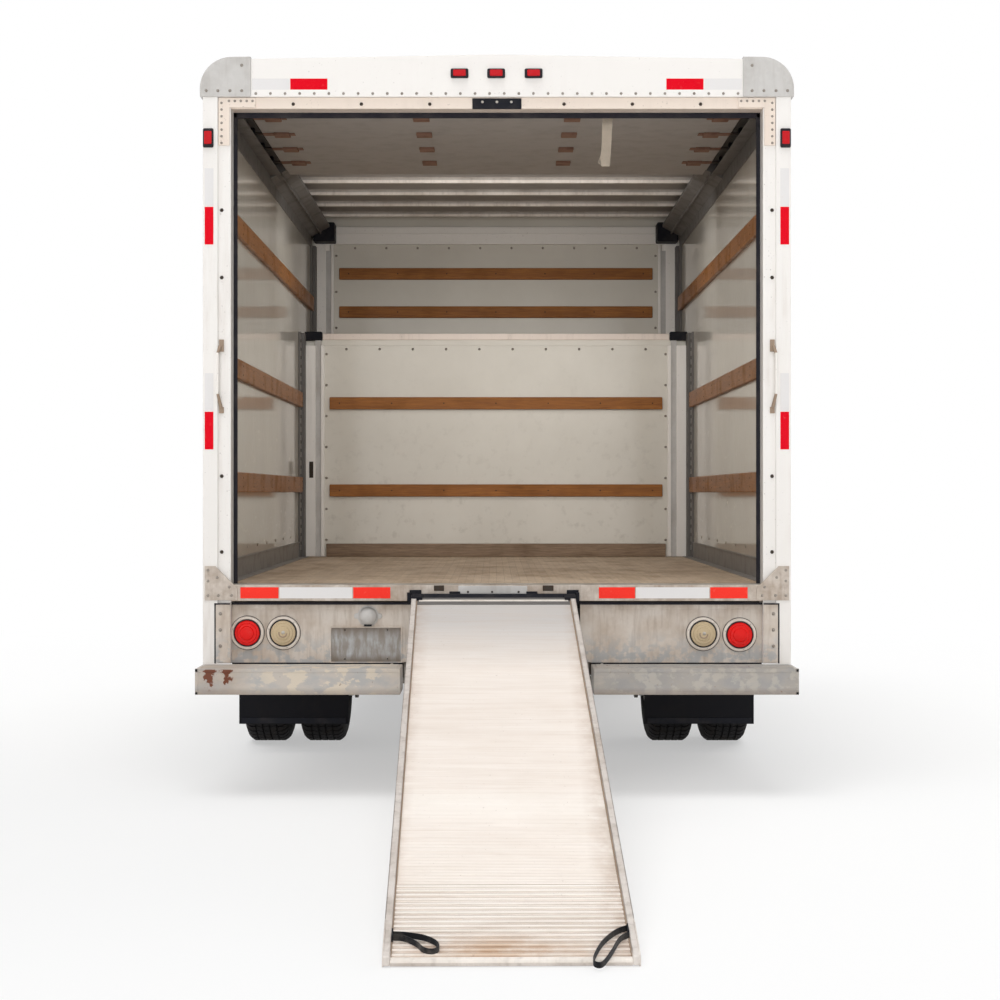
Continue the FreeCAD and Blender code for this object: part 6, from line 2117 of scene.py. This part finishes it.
    @staticmethod
    def headlamps():
        """Plated bezel, round lens on its reflector, and an amber turn lamp beside it."""
        bezels, round_lens, amber, bowls = blanks(4)
        for side in SIDES:
            outline = soft_box((side * 0.452, side * 0.818), (0.782, 1.018), 0.025)
            add_frame(bezels, [on_nose(x, z) for x, z in outline], NOSE_OUT, 0.022, 0.006, -0.022)
            centre = on_nose(side * 0.595, 0.9, -0.022)
            add_lathe(bowls, [(0.0, 0.086), (0.0, 0.095), (0.02, 0.094), (0.021, 0.09),
                              (0.012, 0.084)], centre, NOSE_OUT, 48)
            add_lathe(round_lens, [(0.0, 0.0), (0.0, 0.085), (0.012, 0.084), (0.017, 0.07),
                                   (0.021, 0.035), (0.0225, 0.0)], centre, NOSE_OUT, 48)
            loop = soft_box((side * 0.712, side * 0.794), (0.806, 0.994), 0.012)
            add_panel(amber, [on_nose(x, z, -0.022) for x, z in loop], NOSE_OUT, 0.019)
        keep("lamp_bezels", bezels, "chrome", edge=0.0018, sharp=50)
        keep("lamp_bowls", bowls, "chrome")
        keep("lamp_lenses", round_lens, "head_lens", sharp=60)
        keep("turn_lamps", amber, "amber_lens", edge=0.003, sharp=50)
        refined("headlamps", "bright", 0.0)

    @staticmethod
    def attic_lamps():
        """Five amber lamps along the top of the attic's front."""
        rims, lenses = blanks(2)
        for x in (-1.08, -0.16, 0.0, 0.16, 1.08):
            add_block(
                rims, (x - 0.042, ATTIC_FACE - 0.001, 2.91), (x + 0.042, ATTIC_FACE + 0.01, 2.948))
            add_block(
                lenses, (x - 0.034, ATTIC_FACE, 2.914), (x + 0.034, ATTIC_FACE + 0.022, 2.944))
        keep("attic_lamp_rims", rims, "rubber", edge=0.004)
        keep("attic_lamp_lenses", lenses, "amber_lens", edge=0.005)

    @staticmethod
    def bumper():
        """Plated bumper set back by its rub strip's depth, with a bare seat for a number plate."""
        depth = 0.007
        mesh = rounded("front_bumper", joined_mesh("front_bumper"), 0.006, 3)
        for vert in mesh.vertices:
            vert.co.y -= depth
        dress(mesh, "chrome")
        keep("front_bumper_finished", mesh, "chrome", sharp=40, stands_for=["front_bumper"])
        nose = high("front_bumper").y
        plated, strip = nose - depth, bmesh.new()
        add_pair(strip, (0.17, plated - 0.002, 0.5), (0.8, nose, 0.55))
        add_block(strip, (-0.155, plated - 0.002, 0.45), (0.155, nose - 0.003, 0.61))
        keep("bumper_rubber", strip, "plastic", edge=0.003)
        heads("bumper_face_bolts", [((x, plated, 0.6), -BACK) for x in (-0.62, -0.4, 0.4, 0.62)],
              "chrome", 0.013, 0.006, 12)

    @staticmethod
    def wing_corners():
        """Plates that close the cut in each wing behind the bumper's end, over an inner strip."""
        plates = bmesh.new()
        for side in SIDES:
            for back, front, inset, top in ((5.7645, 5.8405, 0.0, 0.6795),
                                            (5.756, 5.848, 0.0016, 0.69)):
                outline = [(side * (wing_x(forward) - inset - depth), REAR + forward)
                           for forward, depth in ((back, 0.0), (front, 0.0), (front, 0.004),
                                                  (back, 0.004))]
                add_slab(plates, outline, "z", 0.4805, top)
        keep("wing_corners", plates, "cab_enamel")

    @staticmethod
    def mouldings():
        """Side strips, arch lips, running boards and the plates behind them."""
        strips, lips, boards = blanks(3)
        section = ((0.45, 0.006), (0.458, 0.011), (0.474, 0.01), (0.482, -0.002), (0.45, -0.03))
        for name, side in NAMED_SIDES:
            rows = []
            for step in range(37):
                angle = math.radians(14 + step * 152 / 36)
                spots = [(ARCH[0] + reach * math.cos(angle), ARCH[1] + reach * math.sin(angle),
                          lift) for reach, lift in section]
                rows.append([lips.verts.new(at(side * (wing_x(forward) + lift), forward, z))
                             for forward, z, lift in spots])
            add_rows(lips, rows)
            bars("board_ribs_" + name, 6, at(side * 0.9, 4.365, 0.4355), (side * 0.022, 0, 0),
                 (0.008, 0.7, 0.004), "rubber")
        add_pair(strips, at(0.999, 4.83, STRIP[0]), at(1.008, 5.42, STRIP[1]))
        add_pair(boards, at(0.86, 4.0, 0.405), at(1.035, 4.73, 0.435))
        for forward in (4.08, 4.6):
            add_pair(boards, at(0.88, forward, 0.43), at(0.91, forward + 0.05, 0.5))
        keep("wing_strips", strips, "plastic", edge=0.003)
        keep("arch_lips", lips, "plastic", sharp=50)
        keep("running_boards", boards, "black", edge=0.005)


# ---- inside the cab ----
def pad(name, corner, opposite, crown):
    """A stuffed cushion: a small block, remeshed and blown up as cloth within its crown."""
    shape = bmesh.new()
    add_block(shape, corner, opposite)

    def remesh(holder):
        bevel = holder.modifiers.new("Round", "BEVEL")
        bevel.width = 0.022
        bevel.segments = 4
        voxels = holder.modifiers.new("Remesh", "REMESH")
        voxels.mode = "VOXEL"
        voxels.voxel_size = 0.009
    mesh = plain_mesh(name, as_mesh(name, shape), remesh)
    start = [vert.co.copy() for vert in mesh.vertices]

    def blow_up(holder):
        cloth = holder.modifiers.new("Cloth", "CLOTH")
        cloth.settings.use_pressure = True
        cloth.settings.uniform_pressure_force = 4
        cloth.settings.effector_weights.gravity = 0
        cloth.settings.tension_stiffness = 25
        cloth.settings.quality = 4
        for number in range(1, 15):
            bpy.context.scene.frame_set(number)
    made = plain_mesh(name, mesh, blow_up)
    bpy.context.scene.frame_set(1)
    for vert, place in zip(made.vertices, start):
        move = vert.co - place
        if move.length > crown:
            vert.co = place + move.normalized() * crown
    return made


def sewn(mesh, lines):
    """Press sewn channels into a pad at given values of x."""
    depth, width = 0.006, 0.008
    for vert, normal in [(vert, vert.normal.copy()) for vert in mesh.vertices]:
        for line in lines:
            vert.co -= normal * depth * math.exp(-((vert.co.x - line) / width) ** 2)
    return mesh


class TRUCK_OT_cab_inside(bpy.types.Operator):
    """Padded seats, dials, vents, pedals, visors and the trim inside the cab"""
    bl_idname = "truck.cab_inside"
    bl_label = "Inside the cab"

    def execute(self, context):
        self.seats()
        self.seat_frames()
        refined("dashboard", "grey_plastic", 0.004)
        refined("cab_floor", "plastic", 0.003)
        self.dials()
        self.fittings()
        return {"FINISHED"}

    @staticmethod
    def seats():
        """Two seats: a sewn cushion, a sewn back that leans, and a headrest on two posts."""
        channels = (0.45, 0.52, 0.595, 0.67, 0.74)
        start, end = 0.338, 0.852
        cushion = sewn(pad("cushion", at(start, 4.008, 0.965), at(end, 4.492, 1.062), 0.012),
                       channels)
        back = sewn(pad("back", at(start, 3.965, 1.075), at(end, 4.05, 1.585), 0.012), channels)
        lean = 0.11
        for vert in back.vertices:
            vert.co.y -= (vert.co.z - 1.3) * lean - 0.012
        rest = pad("headrest", at(0.468, 3.932, 1.615), at(0.722, 3.99, 1.75), 0.008)
        for name, side in NAMED_SIDES:
            for part, source, fill in (("cushion", cushion, 0.8), ("back", back, 0.8),
                                       ("headrest", rest, 0.9)):
                shape = bmesh.new()
                shape.from_mesh(source)
                for vert in shape.verts:
                    vert.co.x *= side
                piece = keep(part + "_" + name, shape, "cloth", sharp=180,
                             stands_for=["seats"] if part == "cushion" and side < 0 else ())
                smooth = piece.modifiers.new("Smooth", "SUBSURF")
                smooth.levels = smooth.render_levels = 1

    @staticmethod
    def seat_frames():
        """The boxes under the cushions, the headrests' posts and the piping round the cushions."""
        frames, posts, piping = blanks(3)
        add_pair(frames, at(0.39, 4.06, 0.71), at(0.80, 4.46, 0.945))
        add_pair(frames, at(0.345, 3.945, 0.94), at(0.845, 4.47, 0.962))
        for side in SIDES:
            for x in (0.55, 0.64):
                add_rod(posts, at(side * x, 3.95, 1.56), at(side * x, 3.955, 1.63), 0.006, 12)
            points = [at(x, forward, 1.058) for x, forward in
                      soft_box((side * 0.342, side * 0.848), (4.012, 4.488), 0.03)]
            for start, end in zip(points, points[1:] + points[:1]):
                add_rod(piping, start, end + (end - start) * 0.02, 0.0045, 8)
        keep("cushion_frames", frames, "plastic", edge=0.01)
        keep("headrest_posts", posts, "chrome")
        keep("cushion_piping", piping, "plastic")

    @staticmethod
    def dials():
        """Dials with ticks, air vents and a row of knobs on the dashboard's rear face."""
        rings, faces, ticks, knobs, lids = blanks(5)
        for x, radius in ((-0.665, 0.05), (-0.55, 0.05), (-0.455, 0.034)):
            centre = at(x, 4.702, 1.115)
            add_lathe(rings, [(0.0, radius - 0.006), (0.0, radius + 0.004), (0.012, radius + 0.002),
                              (0.014, radius - 0.003), (0.006, radius - 0.006)], centre, BACK, 40)
            add_lathe(faces, [(0.0, 0.0), (0.0, radius - 0.005), (0.0045, radius - 0.005),
                              (0.0045, 0.0)], centre, BACK, 40)
            for turn in range(-30, 211, 24):
                way, face = round_way(turn) * radius, centre + BACK * 0.0052
                add_rod(ticks, face + way * 0.66, face + way * 0.82, 0.0011, 6)
            hub = centre + BACK * 0.006
            add_rod(ticks, hub, hub + Vector((-0.6, 0, 0.45)) * radius, 0.0014, 6)
        for x in (-0.33, -0.25, 0.0, 0.08, 0.16):
            add_lathe(knobs, [(0.0, 0.0), (0.0, 0.016), (0.014, 0.014), (0.017, 0.0)],
                      at(x, 4.7, 1.05), BACK, 24)
        keep("dial_rings", rings, "chrome")
        keep("dial_faces", faces, "plastic")
        keep("dial_marks", ticks, "clear_lens")
        keep("dash_knobs", knobs, "plastic", edge=0.001)
        for name, x in (("left", -0.85), ("middle_left", -0.29), ("middle_right", 0.33),
                        ("right", 0.83)):
            bars("vent_" + name, 6, at(x, 4.699, 1.11), (0, 0.0, 0.009), (0.1, 0.008, 0.004),
                 "plastic")
        add_block(lids, at(0.42, 4.697, 1.02), at(0.74, 4.705, 1.15))
        add_block(lids, at(-0.06, 4.694, 1.085), at(0.2, 4.705, 1.145))
        keep("dash_lids", lids, "plastic", edge=0.003)

    @staticmethod
    def fittings():
        """Pedals, sun visors and the mirror inside the windscreen."""
        pedals, visors, mirror = blanks(3)
        for x, wide in ((-0.7, 0.035), (-0.52, 0.045), (-0.4, 0.028)):
            add_rod(pedals, at(x, 4.9, 0.94), at(x, 4.8, 0.83), 0.008, 12)
            add_block(pedals, at(x - wide, 4.785, 0.79), at(x + wide, 4.8, 0.86))
        keep("pedals", pedals, "black", edge=0.003)
        add_pair(visors, at(0.2, 4.36, 2.0), at(0.66, 4.54, 2.018))
        keep("visors", visors, "grey_plastic", edge=0.007)
        add_block(mirror, at(-0.12, 4.575, 1.83), at(0.12, 4.59, 1.89))
        add_rod(mirror, at(0, 4.585, 1.88), at(0, 4.6, 1.99), 0.007, 12)
        keep("inside_mirror", mirror, "plastic", edge=0.004)


# ---- outside of the body ----
RIVET_PITCH = 0.075


class TRUCK_OT_body_outside(bpy.types.Operator):
    """Side seams with rivets, rub rails, tapes, side lamps and the attic's corner mouldings"""
    bl_idname = "truck.body_outside"
    bl_label = "Outside of the body"

    def execute(self, context):
        face = high("cargo_wall_right").x
        rivets = []
        self.seams(face, context.scene.truck_sizes.panel_pitch, rivets)
        self.rub_rails(face, rivets)
        self.tapes(face)
        self.side_lamps(face)
        self.attic(face, rivets)
        heads("side_rivets", rivets, "enamel", 0.005, 0.0022, 7)
        return {"FINISHED"}

    @staticmethod
    def seams(face, pitch, rivets):
        """Cover strips over the side panels' joints, each between two rows of rivets."""
        seams = bmesh.new()
        top = low("top_rails").z
        for place in row((0, REAR + 0.12 + pitch, 0), (0, ATTIC_FACE - 0.2, 0), pitch):
            foot = low("cargo_wall_right").z + 0.1 if place.y < FRONT_WALL else ATTIC_DECK + 0.02
            add_pair(seams, (face, place.y - 0.03, foot), (face + 0.0015, place.y + 0.03, top))
            for side in SIDES:
                for shift in (-0.02, 0.02):
                    x, y = side * (face + 0.0015), place.y + shift
                    rivets += studs((x, y, foot + 0.03), (x, y, top - 0.02), RIVET_PITCH,
                                    (side, 0, 0))
        keep("side_seams", seams, "enamel", edge=0.0006)

    @staticmethod
    def rub_rails(face, rivets):
        """Rails along the walls' feet and the attic's, with rivets on them and under the roof."""
        rails = bmesh.new()
        start, end = REAR + 0.122, FRONT_WALL + 0.03
        foot, top = low("cargo_wall_right").z, low("top_rails").z
        add_pair(rails, (face, start, foot + 0.002), (face + 0.006, end, foot + 0.1))
        add_pair(rails, (face, start, foot + 0.045), (face + 0.01, end, foot + 0.055))
        add_pair(rails, (face, end, ATTIC_DECK - 0.068),
                 (face + 0.005, ATTIC_FACE, ATTIC_DECK + 0.01))
        keep("rub_rails", rails, "cap", edge=0.002)
        for side in SIDES:
            for x, y, z in ((face + 0.006, FRONT_WALL, foot + 0.088),
                            (face, ATTIC_FACE - 0.06, top - 0.012)):
                rivets += studs((side * x, REAR + 0.16, z), (side * x, y, z), RIVET_PITCH,
                                (side, 0, 0))

    @staticmethod
    def tapes(face):
        """Red and white tape along the rub rails, a long and a short piece in turn."""
        red, white = blanks(2)
        foot = low("cargo_wall_right").z
        for step in range(6):
            start = REAR + 0.2 + step * 0.62
            long_piece, short_piece = (white, red) if step % 2 else (red, white)
            for shape, ahead, reach in ((long_piece, 0.0, 0.3), (short_piece, 0.303, 0.45)):
                add_pair(shape, (face + 0.0055, start + ahead, foot + 0.006),
                         (face + 0.0072, start + reach, foot + 0.04))
        keep("side_red_tapes", red, "red_tape")
        keep("side_white_tapes", white, "white_tape")

    @staticmethod
    def side_lamps(face):
        """Round marker lamps: red at the rear, amber further on."""
        rims, amber, ruby = blanks(3)
        for side in SIDES:
            for forward, z, shape in ((0.17, 0.9, ruby), (1.9, 0.9, amber), (3.6, 0.9, amber),
                                      (0.2, 2.9, ruby), (4.5, 2.9, amber)):
                add_rod(rims, at(side * (face - 0.002), forward, z),
                        at(side * (face + 0.006), forward, z), 0.032, 32)
                add_lathe(shape, [(0.0, 0.0), (0.0, 0.026), (0.004, 0.025), (0.0085, 0.015),
                                  (0.0098, 0.0)], at(side * face, forward, z), (side, 0, 0), 32)
        keep("side_lamp_rims", rims, "rubber", edge=0.002)
        keep("side_amber_lenses", amber, "amber_lens", sharp=60)
        keep("side_red_lenses", ruby, "red_lens", sharp=60)

    @staticmethod
    def attic(face, rivets):
        """Corner mouldings and panel joints on the attic's front."""
        foot, top = low("attic_floor").z, high("top_rails").z
        trim, joints = blanks(2)
        proud = ATTIC_FACE + 0.004
        corner = ((face + 0.004, ATTIC_FACE - 0.06), (face + 0.004, ATTIC_FACE - 0.004),
                  (face - 0.002, proud), (face - 0.06, proud), (face - 0.06, ATTIC_FACE - 0.001),
                  (face - 0.001, ATTIC_FACE - 0.06))
        for side in SIDES:
            add_slab(trim, [(side * x, y) for x, y in corner], "z", foot + 0.002, top - 0.004)
            middle = side * 0.4
            add_block(joints, (middle - 0.03, ATTIC_FACE, foot + 0.05),
                      (middle + 0.03, ATTIC_FACE + 0.0015, top - 0.05))
            for x, y, inset in ((side * (face - 0.04), proud, 0.04),
                                (middle - 0.02, ATTIC_FACE + 0.0015, 0.09),
                                (middle + 0.02, ATTIC_FACE + 0.0015, 0.09)):
                rivets += studs((x, y, foot + inset), (x, y, top - inset), RIVET_PITCH, -BACK)
        for start, end in ((foot + 0.001, foot + 0.05), (top - 0.05, top - 0.003)):
            add_block(trim, (-face + 0.05, ATTIC_FACE - 0.002, start), (face - 0.05, proud, end))
            z = (start + end) / 2
            rivets += studs((-face + 0.12, proud, z), (face - 0.12, proud, z), 0.1, -BACK)
        keep("attic_trim", trim, "cap", edge=0.002)
        keep("attic_joints", joints, "enamel", edge=0.0006)


# Nodes that need nothing but their finish and a rounding: (finish, rounding).
PLAIN = {"ramp_bay": ("chassis", 0.001), "driveshaft": ("chassis", 0.002),
         "front_axle": ("cast", 0.003), "engine_block": ("cast", 0.006),
         "windscreen": ("glass", 0.0), "door_glass_left": ("glass", 0.0),
         "door_glass_right": ("glass", 0.0), "knuckle_left": ("cast", 0.002),
         "knuckle_right": ("cast", 0.002)}


# ---- running ----
class TRUCK_OT_finishes(bpy.types.Operator):
    """Make every finish"""
    bl_idname = "truck.finishes"
    bl_label = "Finishes"

    def execute(self, context):
        make_finishes()
        return {"FINISHED"}


class TRUCK_OT_plain(bpy.types.Operator):
    """Rest of the frame, rounded and finished"""
    bl_idname = "truck.plain"
    bl_label = "Remaining nodes"

    def execute(self, context):
        for node, (finish, edge) in PLAIN.items():
            refined(node, finish, edge)
        return {"FINISHED"}


OPERATORS = (TRUCK_OT_finishes, TRUCK_OT_stage, TRUCK_OT_rear_frame, TRUCK_OT_tail,
             TRUCK_OT_load_space, TRUCK_OT_ramp, TRUCK_OT_wheels, TRUCK_OT_running_gear,
             TRUCK_OT_cab, TRUCK_OT_cab_inside, TRUCK_OT_body_outside, TRUCK_OT_plain)


class TRUCK_PT_panel(bpy.types.Panel):
    """Lists the steps that finish the truck"""
    bl_label = "Box truck"
    bl_idname = "TRUCK_PT_panel"
    bl_space_type = "VIEW_3D"
    bl_region_type = "UI"
    bl_category = "Truck"

    def draw(self, context):
        for settings in (context.scene.truck_colours, context.scene.truck_sizes,
                         context.scene.truck_stage):
            box = self.layout.box()
            for name in settings.bl_rna.properties.keys():
                if name not in ("rna_type", "name"):
                    box.prop(settings, name)
        for operator in OPERATORS:
            self.layout.operator(operator.bl_idname)


CLASSES = (TruckColours, TruckSizes, TruckStage, *OPERATORS, TRUCK_PT_panel)


def register():
    for item in CLASSES:
        bpy.utils.register_class(item)
    bpy.types.Scene.truck_colours = PointerProperty(type=TruckColours)
    bpy.types.Scene.truck_sizes = PointerProperty(type=TruckSizes)
    bpy.types.Scene.truck_stage = PointerProperty(type=TruckStage)


def unregister():
    del bpy.types.Scene.truck_stage
    del bpy.types.Scene.truck_sizes
    del bpy.types.Scene.truck_colours
    for item in reversed(CLASSES):
        bpy.utils.unregister_class(item)


def main():
    register()
    for operator in OPERATORS:
        group, name = operator.bl_idname.split(".")
        getattr(getattr(bpy.ops, group), name)()


if __name__ == "__main__":
    main()
